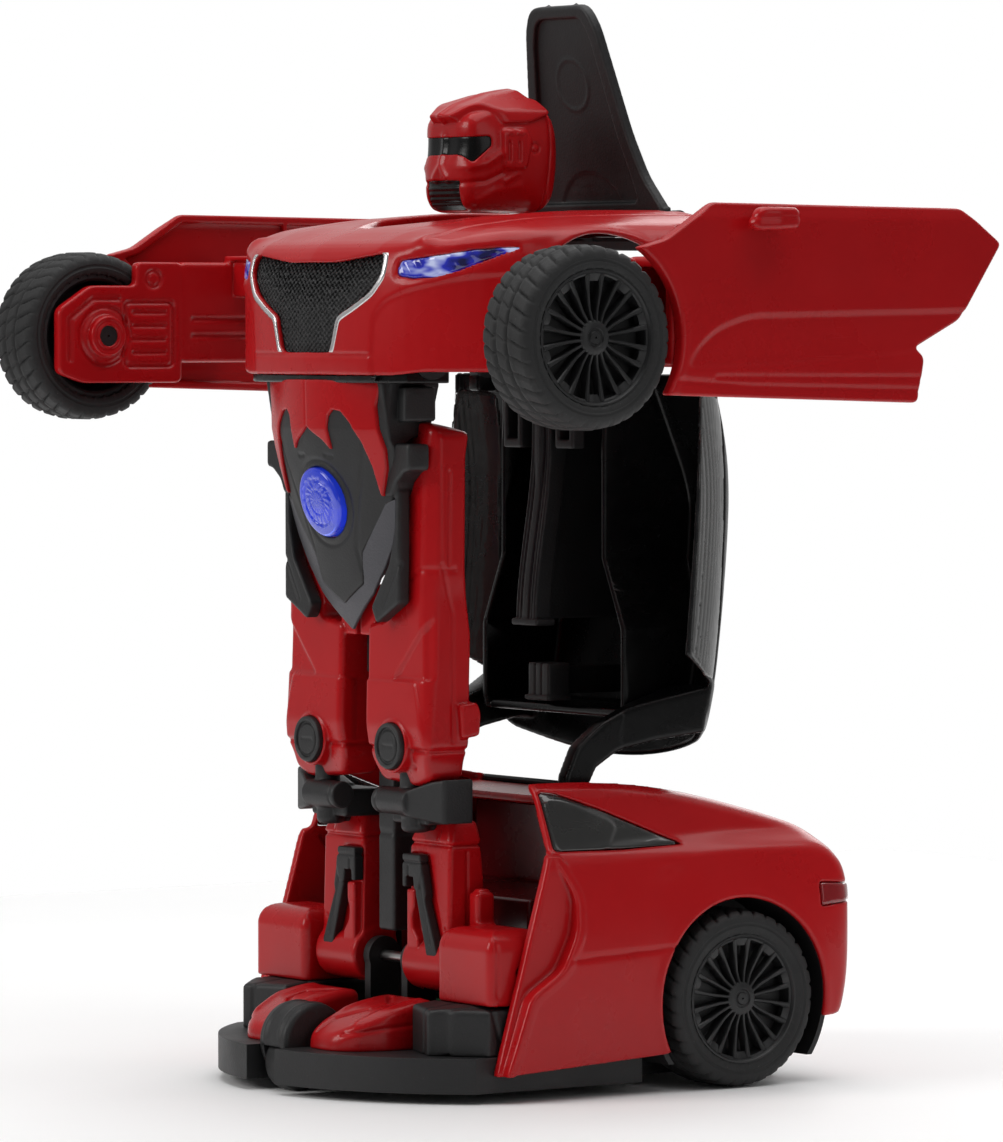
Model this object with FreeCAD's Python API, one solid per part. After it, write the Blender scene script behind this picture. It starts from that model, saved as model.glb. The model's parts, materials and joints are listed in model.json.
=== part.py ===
import FreeCAD, Part
import math
import os

# Transforming robot car, standing as a robot. Millimetres, +Z up, the robot faces -Y, its left is +X.
# Depths below are measured from the front roller's axle; ORIGIN_Y moves the origin to the middle of
# the footprint when a piece is written. Outlines for prisms along X are (Y, Z) points, along Y they
# are (X, Z) points and along Z they are (X, Y) points.

# ------------------------------------------------------------------------- driving dimensions
ORIGIN_Y = 66.0                  # middle of the depth, from the roller axle
WALL = 2.5                       # moulded wall thickness
RUN_FIT = 0.05                   # radial clearance of a running fit

ANKLE = (36.0, 36.0)             # base to legs pivot (Y, Z)
WAIST = (20.0, 208.0)            # legs to chest pivot
CANOPY_HINGE = (95.0, 64.0)      # base to canopy pivot
CANOPY_CLOSE = (CANOPY_HINGE[0] + WAIST[0] - ANKLE[0], CANOPY_HINGE[1] + WAIST[1] - ANKLE[1])
FLAP_HINGE = (105.0, 247.0)      # chest to bonnet flap pivot

LINK_PIVOT = (40.0, 50.0)        # arm link pivot on the chest (X, Y)
LINK_RADIUS = 62.4
LINK_REST_DEG = 7.0
LINK_TRAVEL_DEG = 90.0
LINK_Z = (226.0, 236.0)

WHEEL_R = 25.0
REAR_WHEEL_R = 25.5
WHEEL_WIDTH = 20.7
RIM_R = 18.4
AXLE_R = 3.0
SPOKES = 10
REAR_ARCH_R = 28.8               # wheel openings in the rear body, the chest and the doors
FRONT_ARCH_R = 29.0
DOOR_ARCH_R = 28.0
REAR_AXLE = (108.0, 25.5)        # (Y, Z)
REAR_WHEEL_X = 69.0              # outer face
FRONT_AXLE = (7.0, 214.0)
FRONT_WHEEL_X = 139.0            # outer face
ROLLER_R = 8.0

BODY_HALF = 70.0                 # rear body half width
CHEST_HALF = 68.0
DOOR_X = (135.0, 139.0)
DOOR_GAP = 0.8                   # gap round a closed door
PIN_R = 1.5
TRUNNION_R = 3.0                 # waist pins
LINK_PIN_R = 2.5                 # pins of the arm links, and the canopy's stub pins
LINK_EYE_R = 4.0
TRIM_WIDTH = 1.6                 # bright line round the grille

LINK_REST = math.radians(LINK_REST_DEG)
LINK_CAR = math.radians(LINK_REST_DEG + LINK_TRAVEL_DEG)
LINK_END = (LINK_PIVOT[0] + LINK_RADIUS * math.cos(LINK_REST),
            LINK_PIVOT[1] + LINK_RADIUS * math.sin(LINK_REST))
ARM_SHIFT = (LINK_RADIUS * (math.cos(LINK_CAR) - math.cos(LINK_REST)),
             LINK_RADIUS * (math.sin(LINK_CAR) - math.sin(LINK_REST)))

V = FreeCAD.Vector
AXES = {"x": V(1, 0, 0), "y": V(0, 1, 0), "z": V(0, 0, 1)}


# ------------------------------------------------------------------------- helpers
def place(axis, along, a, b):
    """The point at 'along' on the axis, with the other two coordinates in X, Y, Z order."""
    return {"x": V(along, a, b), "y": V(a, along, b), "z": V(a, b, along)}[axis]


def box(x, y, z):
    return Part.makeBox(x[1] - x[0], y[1] - y[0], z[1] - z[0], V(x[0], y[0], z[0]))


def outline_face(axis, outline, along=0.0):
    points = [place(axis, along, a, b) for a, b in outline]
    return Part.Face(Part.makePolygon(points + points[:1]))


def prism(axis, outline, low, high):
    return outline_face(axis, outline, low).extrude(AXES[axis] * (high - low))


def grown(axis, outline, offset, low, high):
    """A prism whose outline stands 'offset' outside the given one."""
    face = outline_face(axis, outline, low).makeOffset2D(offset, 2)
    return face.extrude(AXES[axis] * (high - low))


def rod(axis, centre, radius, low, high):
    return Part.makeCylinder(radius, high - low, place(axis, low, *centre), AXES[axis])


def tube(axis, centre, outer, inner, low, high):
    return rod(axis, centre, outer, low, high).cut(rod(axis, centre, inner, low - 1, high + 1))


def fuse(first, *rest):
    return first.multiFuse(list(rest)).removeSplitter()


def cut(first, *rest):
    for tool in rest:
        first = first.cut(tool)
    return first


def mirrored(shape):
    return shape.mirror(V(0, 0, 0), V(1, 0, 0))


def both(shape):
    """The shape and its mirror image, joined across the middle plane."""
    return fuse(shape, mirrored(shape))


def pair(shape):
    """Two separate solids, left and right."""
    return Part.makeCompound([shape, mirrored(shape)])


def softened(shape, radius, wanted):
    """Rounds the edges for which wanted(edge) is true."""
    edges = [edge for edge in shape.Edges if wanted(edge)]
    return shape.makeFillet(radius, edges) if edges else shape


def keep(name, shape):
    """Writes one piece, with the origin moved to the middle of the footprint."""
    moved = shape.copy()
    moved.translate(V(0, -ORIGIN_Y, 0))
    if not moved.isValid():
        print("invalid shape:", name)
    moved.exportStep("parts/" + name + ".step")


def keep_sides(name, left):
    keep(name + "_left", left)
    keep(name + "_right", mirrored(left))


# ------------------------------------------------------------------------- base: chassis and body
def platform_wire(inset, z):
    """Plan outline of the chassis: a round front edge, and a narrow tail between the rear wheels."""
    side = 62.0 - inset
    tail = 45.0 - inset
    front = Part.Arc(V(-side, 20, z), V(0, -12 + inset, z), V(side, 20, z)).toShape()
    rest = [V(side, 20, z), V(side, 77 - inset, z), V(tail, 77 - inset, z), V(tail, 138 - inset, z),
            V(-tail, 138 - inset, z), V(-tail, 77 - inset, z), V(-side, 77 - inset, z),
            V(-side, 20, z)]
    return Part.Wire([front] + Part.makePolygon(rest).Edges)


def chassis():
    slab = Part.Face(platform_wire(0, 3)).extrude(V(0, 0, 10))
    pocket = Part.Face(platform_wire(WALL, 5.5)).extrude(V(0, 0, 20)).common(
        box((-70, 70), (50, 140), (5.5, 30)))
    body = cut(slab, pocket,
               box((-7.3, 7.3), (-20, 14.3), (0, 20)),                    # roller housing
               box((-28.4, 28.4), (51.6, 80.4), (0, 6)),                  # battery door
               box((-5.3, 3.3), (88, 94), (0, 6)))                        # switch slot
    ankle_lug = fuse(box((8, 11), (31, 41), (12, ANKLE[1])), rod("x", ANKLE, 5.5, 8, 11))
    well = tube("x", REAR_AXLE, 30.8, 29.2, 44.5, 67).common(box((40, 70), (70, 150), (8, 70)))
    cup = rod("x", REAR_AXLE, 30.8, 44.5, 46).common(box((40, 70), (70, 150), (5.5, 70)))
    hinge_tab = fuse(box((44.5, 46), (90, 100), (40, CANOPY_HINGE[1])),
                     rod("x", CANOPY_HINGE, 5, 44.5, 46))
    inner_tab = fuse(box((34, 36.5), (90, 100), (5, CANOPY_HINGE[1])),
                     rod("x", CANOPY_HINGE, 5, 34, 36.5))
    sides = fuse(ankle_lug, well, cup, hinge_tab, inner_tab)
    body = fuse(body, sides, mirrored(sides))
    return cut(body, rod("x", ANKLE, PIN_R, -70, 70), rod("x", CANOPY_HINGE, PIN_R, -70, 70),
               rod("x", REAR_AXLE, AXLE_R + RUN_FIT, -70, 70))


LOWER_SIDE = [(26, 8), (79, 11), (136, 19), (145, 26), (149, 38), (150, 52), (147, 60), (137.5, 65),
              (109, 71), (43.5, 68.6)]
CABIN_SIDE = [(45, 66), (45, 89), (58, 90), (75, 87.5), (95, 81.5), (137, 65.5), (137, 60)]
CABIN_FRONT = [(-63.5, 60), (-62.5, 69), (-53, 90.5), (53, 90.5), (62.5, 69), (63.5, 60)]
BODY_PLAN = [(-BODY_HALF, 20), (-BODY_HALF, 122), (-66, 139), (-54, 147), (-30, 150), (30, 150),
             (54, 147), (66, 139), (BODY_HALF, 122), (BODY_HALF, 20)]
LOWER_INNER = [(15, 4), (79, 4), (133, 17), (143, 28), (146.5, 38), (147.3, 52), (145, 58.5),
               (136, 62.6), (109, 68.4), (15, 66)]
CABIN_INNER = [(30, 62), (30, 86.5), (58, 87.5), (74, 85), (94, 79), (132, 64), (134.5, 61)]

FLANGE_X = 64.8                  # the closed door's tip lies outside this recessed flange
FLANGE = [(26, 8), (52, 9), (55, 58), (47, 68.4), (43.5, 68.6)]
DOOR_TIP_RECESS = [(10, 0), (24, 0), (26.6, 8), (34, 30), (45, 37), (50, 47), (50.5, 57), (44.5, 67.8),
                   (43.5, 68.6), (10, 69)]


def rear_body_outer():
    lower = prism("x", LOWER_SIDE, -BODY_HALF, BODY_HALF).common(prism("z", BODY_PLAN, 0, 100))
    cabin = prism("x", CABIN_SIDE, -64, 64).common(prism("y", CABIN_FRONT, 40, 140))
    return fuse(lower, cabin)


def rear_body_parts():
    """The red shell and the dark panes let into it."""
    outer = rear_body_outer()
    plan = [(x * (1 - WALL / BODY_HALF), y - WALL) for x, y in BODY_PLAN]
    front = [(x * (1 - WALL / 60.0), z - WALL) for x, z in CABIN_FRONT]
    hollow = fuse(prism("x", LOWER_INNER, -67.5, 67.5).common(prism("z", plan, 0, 100)),
                  prism("x", CABIN_INNER, -62, 62).common(prism("y", front, 20, 140)))
    shell = cut(outer, hollow,
                box((-50, 50), (40, 70), (69, 100)),                      # roof opening
                box((-50, 50), (69, 98), (82, 100)))                      # seat for the canopy tail
    shell = fuse(shell, box((-50.5, 50.5), (70, 97), (79.6, 82)))
    recess = both(prism("x", DOOR_TIP_RECESS, FLANGE_X, 75))
    flange = prism("x", FLANGE, FLANGE_X - WALL, FLANGE_X)
    step = grown("x", DOOR_TIP_RECESS, 2.2, FLANGE_X - WALL, 68).common(prism("x", FLANGE, 60, 68))
    shell = cut(fuse(shell, both(flange), both(step)), recess)
    arch = both(rod("x", REAR_AXLE, REAR_ARCH_R, 44, 80))
    shell = cut(shell, arch, chassis())
    window = prism("x", [(47, 70.5), (47, 85), (55, 84.5), (88, 71)], 50, 70)
    side_glass = shell.common(window)
    rear_glass = shell.common(prism("x", [(98, 78.9), (99, 84), (132, 71), (132, 65.8)], -44, 44))
    lamp = shell.common(box((44, 66), (138, 152), (50, 57)))
    diffuser_space = box((-42, 42), (128, 152), (10, 34))
    diffuser = shell.common(diffuser_space)
    shell = cut(shell, window, mirrored(window), rear_glass, lamp, mirrored(lamp), diffuser_space)
    return shell, side_glass, rear_glass, lamp, diffuser


def inner_tub():
    """Stepped liner seen through the open front of the rear body."""
    profile = [(58, 26), (60, 26), (60, 51), (82, 53), (84.5, 26), (87, 26), (87, 78.5), (84.5, 78.5),
               (84.5, 55.5), (58, 53.5)]
    return prism("x", profile, -33, 33)


def front_block():
    block = box((33.9, 61.1), (25.4, 46), (27, 48))
    block = softened(block, 5, lambda e: e.BoundBox.ZMin > 40)
    peg = box((34.5, 39.5), (36, 42), (46, 57))
    return cut(fuse(block, peg), rod("x", ANKLE, PIN_R, 30, 70))


def corner_cover():
    return prism("z", [(33, 18), (48, 13), (61, 25), (61, 48), (33, 48)], 13, 27)


def foot():
    toe = prism("x", [(-3, 13), (-2, 17), (8, 23), (20, 26.5), (28, 26.5), (28, 13)], 8, 31)
    side_cut = prism("z", [(31.1, -10), (31.1, 12), (20, -10)], 0, 40)
    return cut(toe, side_cut)


def roller_housing():
    dome = rod("x", (3, 14), 11, -7, 7).common(box((-7, 7), (-8, 14), (3, 30)))
    return cut(dome, rod("x", (0, ROLLER_R), ROLLER_R + 1, -4.6, 4.6),
               box((-4.6, 4.6), (-9, 9), (0, ROLLER_R)),
               rod("x", (0, ROLLER_R), PIN_R + RUN_FIT, -6.4, 6.4))


def front_roller():
    roller = rod("x", (0, ROLLER_R), ROLLER_R, -4, 4)
    roller = roller.makeFillet(1.2, [e for e in roller.Edges if isinstance(e.Curve, Part.Circle)])
    return fuse(roller, rod("x", (0, ROLLER_R), PIN_R, -6, 6))


def battery_pack():
    cells = [rod("y", (x, 15.5), 7, 53, 79) for x in (-21.6, -7.2, 7.2, 21.6)]
    return fuse(box((-29, 29), (53, 79), (8, 15)), *cells)


def battery_door():
    return fuse(box((-28, 28), (52, 80), (3, 5.4)), box((-6, 6), (53, 56), (5.4, 7)))


def circuit_board():
    board = box((-30, 30), (89, 98), (14, 15.6))
    chips = [box((x, x + 7), (91, 96), (15.6, 17.6)) for x in (-22, -8, 6)]
    return fuse(board, *chips)


def drive_gearbox():
    case = box((12, 33), (99, 134), (12, 40))
    return cut(case, rod("x", REAR_AXLE, AXLE_R + RUN_FIT, 0, 70))


def transform_gearbox():
    return fuse(box((-30, 30), (64, 80), (30, 49)), rod("x", (72, 40), 6, -33, 33))


def hinge_pins():
    ankle = rod("x", ANKLE, PIN_R, -55, 55)
    canopy = [rod("x", CANOPY_HINGE, PIN_R, 34, 46), rod("x", CANOPY_HINGE, PIN_R, -46, -34)]
    return Part.makeCompound([ankle] + canopy)


def case_screws():
    spots = [(x, y) for x in (-38, 38) for y in (60, 132)]
    screws = []
    for x, y in spots:
        screws.append(fuse(rod("z", (x, y), 2.6, 5.5, 7.2), rod("z", (x, y), 1.2, 7.2, 12)))
    return Part.makeCompound(screws)


def power_switch():
    return fuse(box((-5, -1), (89, 93), (1.5, 5.8)), box((-8, 2), (88.6, 93.4), (5.8, 7)))


# ------------------------------------------------------------------------- wheels
def tyre(axle, radius, outer_x):
    inner_x = outer_x - WHEEL_WIDTH
    solid = rod("x", axle, radius, inner_x, outer_x)
    rims = [e for e in solid.Edges if isinstance(e.Curve, Part.Circle)]
    return cut(solid.makeFillet(3.0, rims), rod("x", axle, RIM_R, inner_x - 1, outer_x + 1))


def rim(axle, outer_x, axle_end):
    """Barrel, paired spokes, hub and the axle, which reaches in to axle_end."""
    inner_x = outer_x - WHEEL_WIDTH + 1
    parts = [tube("x", axle, RIM_R, RIM_R - 1.8, inner_x, outer_x - 0.6),
             rod("x", axle, 4.6, outer_x - 7, outer_x - 1.2),
             rod("x", axle, AXLE_R, axle_end, outer_x - 2)]
    for i in range(2 * SPOKES):
        spoke = box((outer_x - 5, outer_x - 2.4), (axle[0] - 0.5, axle[0] + 0.5),
                    (axle[1] + 2, axle[1] + RIM_R - 1))
        spoke.rotate(V(0, axle[0], axle[1]), AXES["x"], 180.0 * i / SPOKES)
        parts.append(spoke)
    return fuse(*parts)


# ------------------------------------------------------------------------- legs
THIGH_FRONT = [(17, 190), (34, 190), (38, 181), (38, 142), (36.5, 135), (36.5, 100), (34, 95),
               (33, 87), (27, 84.5), (9, 84.5), (6.5, 92), (6.5, 132), (17, 132)]
THIGH_SIDE = [(22, 190), (20.5, 160), (22, 135), (20, 110), (20, 96), (23, 84), (35, 84), (37, 100),
              (37, 186), (34, 190)]
SHIN_SIDE = [(33, 76), (30.5, 68), (30.5, 42), (34, 36), (43, 36), (43, 60), (41, 76)]
SHIN_FRONT = [(14, 76), (30, 76), (33, 69), (33, 28), (12, 28), (12, 69)]


def thigh():
    return prism("y", THIGH_FRONT, 15, 40).common(prism("x", THIGH_SIDE, 0, 40))


def shin():
    body = prism("y", SHIN_FRONT, 20, 50).common(prism("x", SHIN_SIDE, 0, 40))
    body = fuse(body, rod("x", ANKLE, 8, 12, 33))
    return cut(body, rod("x", ANKLE, PIN_R + RUN_FIT, 0, 70))


def knee_joint():
    """Front cylinder, tapering outer block, hinge core and the round cap on the thigh."""
    barrel = rod("x", (23, 82.3), 4, 10, 31)
    taper = prism("y", [(24, 79), (38, 77), (38, 89), (33.5, 86.8), (24, 84)], 20.5, 31)
    core = box((12, 30), (25, 39), (76, 84))
    cap = rod("y", (21, 98.3), 6.8, 17.2, 20)
    stalk = box((19, 23), (19.4, 23), (79, 92))
    thigh_space = thigh()
    return cut(fuse(barrel, taper, core, stalk, cap), thigh_space)


def shin_strut():
    hammer = box((12.6, 22), (28.2, 30.5), (57, 66))
    strut = prism("y", [(18, 58), (22, 58), (28.5, 36.5), (24.5, 36.5)], 28.2, 30.5)
    piston = prism("y", [(13.2, 57), (17, 57), (17, 50), (16.2, 48), (17.6, 42), (13.2, 42)], 28.2, 30.5)
    return cut(fuse(hammer, strut, piston), shin())


def leg_frame():
    """Centre column, hip beam and the two trunnions that the chest turns on."""
    column = box((-4, 4), (31, 36.9), (44, 131))
    spine = prism("y", [(-4, 118), (4, 118), (22, 130.5), (22, 133.5), (-22, 133.5), (-22, 130.5)],
                  13, 19.8)
    neck = box((-4, 4), (13, 37), (118, 131))
    rails = both(box((17.2, 22), (13, 19.8), (130, 200)))
    beam = box((-30, 30), (13, 24), (190.2, 201))
    hip = both(fuse(box((26, 30), (15, 25), (190.2, WAIST[1])), rod("x", WAIST, 5, 26, 30),
                    box((30, 34), (15, 25.5), (190.2, 200))))
    trunnion = both(rod("x", WAIST, TRUNNION_R, 29, 38.6))
    frame = fuse(column, neck, spine, rails, beam, hip, trunnion)
    lower_link = box((-12, 12), (37, 42), (62, 68))
    return fuse(frame, lower_link, box((-4, 4), (36, 42), (60, 70)))


TORSO_V = [(-30, 201), (-30, 176), (-17, 151), (0, 130), (17, 151), (30, 176), (30, 201)]
FLAME = [(-29, 201), (-27, 184), (-20, 172), (-15.5, 186), (-10, 190), (0, 179.5), (10, 190),
         (15.5, 186), (20, 172), (27, 184), (29, 201)]
SIDE_V = [(29, 180), (29, 174), (16, 149), (0, 130.5), (0, 140), (10.5, 151.5), (20, 168)]
LENS = (0.0, 167.0)
LENS_R = 10.0


def torso_core():
    core = prism("y", TORSO_V, 8, 13)
    return cut(core, rod("y", LENS, LENS_R + RUN_FIT, 5, 9.5))


def torso_cover():
    return cut(prism("y", FLAME, 5.2, 8), rod("y", LENS, LENS_R + 2, 0, 20))


def torso_side_panels():
    return cut(both(prism("y", SIDE_V, 6, 8)), prism("y", FLAME, 0, 20), rod("y", LENS, LENS_R + 2, 0, 20))


def chest_lens():
    lens = rod("y", LENS, LENS_R, 4.2, 9.5)
    front = [e for e in lens.Edges if isinstance(e.Curve, Part.Circle) and e.BoundBox.YMax < 5]
    return lens.makeFillet(2.5, front)


# ------------------------------------------------------------------------- chest
CHEST_SIDE = [(2, 205), (2, 221), (5, 236), (14, 243.5), (45, 248), (105, 252), (105, 215), (100, 201),
              (20, 201)]
CHEST_PLAN = [(-CHEST_HALF, 106), (-CHEST_HALF, 50), (-64, 33), (-54, 17), (-38, 7), (-14, 2),
              (14, 2), (38, 7), (54, 17), (64, 33), (CHEST_HALF, 50), (CHEST_HALF, 106)]
CHEST_FRONT = [(-68, 200), (-68, 238), (-64, 244.5), (-48, 249.5), (-30, 252.1), (30, 252.1), (48, 249.5),
               (64, 244.5), (68, 238), (68, 200)]
CHEST_SIDE_IN = [(4.5, 190), (4.5, 222), (7.5, 234), (15, 241), (45, 245.4), (110, 249.6), (110, 190)]
CHEST_FRONT_IN = [(-65.5, 190), (-65.5, 237), (-62, 242.4), (-47, 247), (-29, 249.6), (29, 249.6),
                  (47, 247), (62, 242.4), (65.5, 237), (65.5, 190)]
SCOOP = [(0, 20), (19.5, 41), (37.2, 102), (37.4, 107), (-37.4, 107), (-37.2, 102), (-19.5, 41)]
GRILLE = [(-31.5, 235.5), (-31, 231), (-26, 226), (-15, 220), (-12.5, 209), (12.5, 209), (15, 220),
          (26, 226), (31, 231), (31.5, 235.5)]
DOOR_SIDE = [(16, 237), (30, 240.5), (46, 251), (131.5, 249.7), (145, 240), (130.6, 218.7),
             (115, 211), (118, 208.5), (116, 195.8), (25.7, 198.6)]


def chest_outer():
    return prism("x", CHEST_SIDE, -CHEST_HALF, CHEST_HALF).common(
        prism("z", CHEST_PLAN, 190, 260)).common(prism("y", CHEST_FRONT, 0, 110))


def chest_hollow():
    plan = [(x * (1 - WALL / CHEST_HALF), y + WALL) for x, y in CHEST_PLAN]
    return prism("x", CHEST_SIDE_IN, -65.5, 65.5).common(
        prism("z", plan, 180, 260)).common(prism("y", CHEST_FRONT_IN, 0, 115))


def door_solid(offset, low, high):
    wheel_gap = rod("x", FRONT_AXLE, DOOR_ARCH_R - offset, low - 1, high + 1)
    return cut(grown("x", DOOR_SIDE, offset, low, high), wheel_gap)


def closed_door_space():
    """The room that a closed door takes beside the chest, with a gap all round."""
    space = door_solid(DOOR_GAP, 60, 75)
    space.translate(V(0, ARM_SHIFT[1], 0))
    return space


def chest_parts():
    """The red front body shell with its grille, lamps and lip, each cut from the same outer form."""
    outer = chest_outer()
    shell = cut(outer, chest_hollow())
    scoop_floor = prism("z", SCOOP, 242.6, 244.8).common(box((-40, 40), (18, 104), (200, 260)))
    scoop_walls = cut(prism("z", [(0, 15), (22, 40), (40, 102), (40, 106), (-40, 106), (-40, 102),
                                  (-22, 40)], 242.6, 250),
                      prism("z", SCOOP, 240, 260)).common(outer)
    shell = fuse(cut(shell, prism("z", SCOOP, 244.8, 260)), scoop_walls,
                 scoop_floor.common(outer))
    wheel_centre = (FRONT_AXLE[0] + ARM_SHIFT[1], FRONT_AXLE[1])
    arch = rod("x", wheel_centre, FRONT_ARCH_R, 44, 75)
    door_space = closed_door_space()
    head_hole = box((-16.4, 16.4), (47, 94.8), (230, 260))
    slots = box((17, 28), (70, 110), (230, 243))
    hinge_room = box((-41, 41), (100.5, 110), (240, 260))
    low_rear = box((-70, 70), (89.5, 110), (190, 240))
    shell = cut(shell, arch, mirrored(arch), door_space, mirrored(door_space), head_hole,
                slots, mirrored(slots), hinge_room, low_rear)
    grille_space = prism("y", GRILLE, 0, 20)
    shell = cut(shell, grille_space)
    plate = prism("y", GRILLE, 4.5, 6.5).common(outer)
    band = cut(grown("y", GRILLE, TRIM_WIDTH, 3.4, 8.5), grille_space)
    trim = band.common(box((-40, 40), (0, 20), (207, 234.5))).common(shell)
    shell = cut(shell, trim)
    lamp_box = prism("z", [(42, 0), (66, 24), (66, 40), (62, 36), (44, 12), (38, 6)], 231, 238)
    lamp = shell.common(lamp_box)
    lip_box = box((-60, 60), (0, 30), (200, 206))
    lip = shell.common(lip_box)
    shell = cut(shell, lamp_box, mirrored(lamp_box), lip_box)
    return largest(shell), plate, trim, largest(lamp), lip


def largest(shape):
    return max(shape.Solids, key=lambda solid: solid.Volume)


def chest_frame(shell, lip, lamps):
    """Deck under the bonnet with the waist lugs, link pins, canopy ears and head posts."""
    deck = box((-44.5, 44.5), (10, 70), (238.6, 241))
    rear_strip = both(box((28.6, 44.5), (68, 100), (238.6, 241)))
    cross_bar = box((-44.5, 44.5), (95, 99.8), (241, 242.4))
    bar_feet = both(box((36, 44.5), (95, 99.8), (238.6, 242.4)))
    front_wall = box((-43, 43), (10, 13.2), (207, 241))
    side = both(box((40.6, 43), (10, 30), (207, 241)))
    lug = both(fuse(rod("x", WAIST, 6, 36.2, 40.6), box((36.2, 43), (14, 26), (208, 239))))
    link_pin = both(rod("z", LINK_PIVOT, LINK_PIN_R, 225.8, 239))
    ear = both(fuse(box((24.8, 27.6), (73, 85), (CANOPY_CLOSE[1], 240)),
                    rod("x", CANOPY_CLOSE, 6, 24.8, 27.6), box((24.8, 29), (73, 85), (238.6, 241))))
    post = both(box((10, 13), (88.4, 91.4), (201, 242.4)))
    post_web = both(box((10.8, 12.2), (91.2, 97), (230, 242.4)))
    frame = fuse(deck, rear_strip, cross_bar, bar_feet, front_wall, side, lug, link_pin, ear, post,
                 post_web)
    hinge_lug = both(fuse(box((38.2, 41), (98, 106), (240, FLAP_HINGE[1])),
                          rod("x", FLAP_HINGE, 3.2, 38.2, 41)))
    frame = fuse(frame, hinge_lug)
    head_hole = box((-16.4, 16.4), (47, 88), (230, 250))
    return largest(cut(frame, head_hole, both(rod("x", WAIST, TRUNNION_R + RUN_FIT, 30, 50)),
                       both(rod("x", CANOPY_CLOSE, 3.5, 20, 35)),
                       both(rod("x", FLAP_HINGE, 1.5 + RUN_FIT, 36, 41.5)),
                       shell, lip, lamps))


# ------------------------------------------------------------------------- head and flap
HELMET_SIDE = [(53, 248.6), (50.5, 256), (50.5, 268), (49, 277), (62, 283.5), (74, 285), (77, 279),
               (83, 275), (85.5, 267), (84, 256), (78, 248.6)]
HELMET_FRONT = [(-9, 248.6), (-14.5, 258), (-15, 270), (-9, 277), (-2.5, 285), (2.5, 285), (9, 277),
                (15, 270), (14.5, 258), (9, 248.6)]
MASK_SIDE = [(48, 248.6), (48, 268), (53.5, 268), (56, 262), (54, 256), (56, 248.6)]


def head_parts():
    helmet = prism("x", HELMET_SIDE, -15, 15).common(prism("y", HELMET_FRONT, 40, 90))
    mask = helmet.common(prism("x", MASK_SIDE, -9.5, 9.5))
    shoe = box((-15.4, 15.4), (77, 94), (243.4, 248.6))
    shoe = cut(shoe, both(box((9.7, 13.3), (88.1, 91.7), (240, 250))),
               both(box((10.4, 12.6), (91, 95), (240, 250))), box((-9, 9), (86, 95), (240, 250)))
    return fuse(cut(helmet, mask), shoe), mask


def bonnet_flap():
    """Tall tongue behind the head; its lean follows the line from its hinge to its tip."""
    lean = math.degrees(math.atan2(13.0, 63.0))
    panel = prism("y", [(-36.2, 3), (36.2, 3), (20, 58), (15, 63), (9, 64.4), (-9, 64.4), (-15, 63),
                        (-20, 58)], -1.25, 1.25)
    rim_band = cut(panel.copy(), prism("y", [(-33, 6), (33, 6), (17.5, 56), (13.5, 60.5), (8.5, 61.8),
                                             (-8.5, 61.8), (-13.5, 60.5), (-17.5, 56)], -3, 3))
    rim_band.translate(V(0, 1.2, 0))
    barrel = rod("x", (0, 0), 2.4, -36.2, 36.2)
    web = box((-36.2, 36.2), (-1.25, 1.25), (0, 4))
    flap = fuse(panel, rim_band, barrel, web, rod("x", (0, 0), 1.5, -40.8, 40.8))
    flap.rotate(V(0, 0, 0), AXES["x"], lean)
    flap.translate(V(0, FLAP_HINGE[0], FLAP_HINGE[1]))
    return flap


# ------------------------------------------------------------------------- canopy
CANOPY_TOP = 203.0
CANOPY_SECTION = [(0, 124), (28, 123), (48, 118), (65, 105), (62.6, 104.2), (46.6, 115.6),
                  (27.5, 120.4), (0, 121.4), (-27.5, 120.4), (-46.6, 115.6), (-62.6, 104.2), (-65, 105),
                  (-48, 118), (-28, 123)]


def canopy_parts():
    """Roof and windscreen shell, open to the front, with the side glass and both pairs of arms."""
    shell = prism("z", CANOPY_SECTION, 91, CANOPY_TOP)
    tail_trim = both(prism("y", [(48, 80), (70, 80), (70, 123), (65, 123), (48, 117)], 90, 130))
    screen_slope = prism("x", [(104, CANOPY_TOP + 1), (126, CANOPY_TOP + 1), (126, 158), (124.2, 158),
                               (117, 182), (104, CANOPY_TOP - 1)], -70, 70)
    shell = cut(shell, tail_trim, screen_slope)
    screen = prism("x", [(103, CANOPY_TOP), (106.5, CANOPY_TOP), (124, 158), (121.4, 158), (115, 178)],
                   -66, 66)
    screen = screen.common(prism("y", [(-60, CANOPY_TOP), (-65, 175), (-30, 157), (30, 157), (65, 175),
                                       (60, CANOPY_TOP)], 90, 130))
    shell = fuse(shell, screen.cut(prism("z", CANOPY_SECTION, 91, 158.5)))
    ribs = both(box((16, 18), (112, 121.6), (100, 170)))
    header = box((-18, 18), (114, 121.6), (168, 172))
    top_bar = box((-24, 24), (96, 108), (198, 203))
    close_arm = both(fuse(rod("x", CANOPY_CLOSE, 5, 19, 24), box((19, 24), (76, 82), (198, CANOPY_CLOSE[1])),
                          box((19, 24), (76, 106), (198, 203)), rod("x", CANOPY_CLOSE, LINK_PIN_R, 19, 27.4)))
    arm_x = (38.2, 43.2)
    hinge_arm = both(fuse(rod("x", CANOPY_HINGE, 4.5, *arm_x),
                          box(arm_x, (60, 95), (61, 67)), box(arm_x, (59, 65), (61, 101.5)),
                          box(arm_x, (59, 121), (96.6, 101.5))))
    shell = fuse(shell, ribs, header, top_bar, close_arm, hinge_arm)
    shell = cut(shell, both(rod("x", CANOPY_HINGE, PIN_R + RUN_FIT, 30, 50)))
    glass_zone = both(prism("z", [(50, 100), (50, 118), (53, 118), (64, 110), (64, 100)], 126, 172))
    glass = pair(largest(shell.common(glass_zone).common(box((0, 70), (90, 130), (90, 210)))))
    return cut(shell, glass_zone), glass


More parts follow.
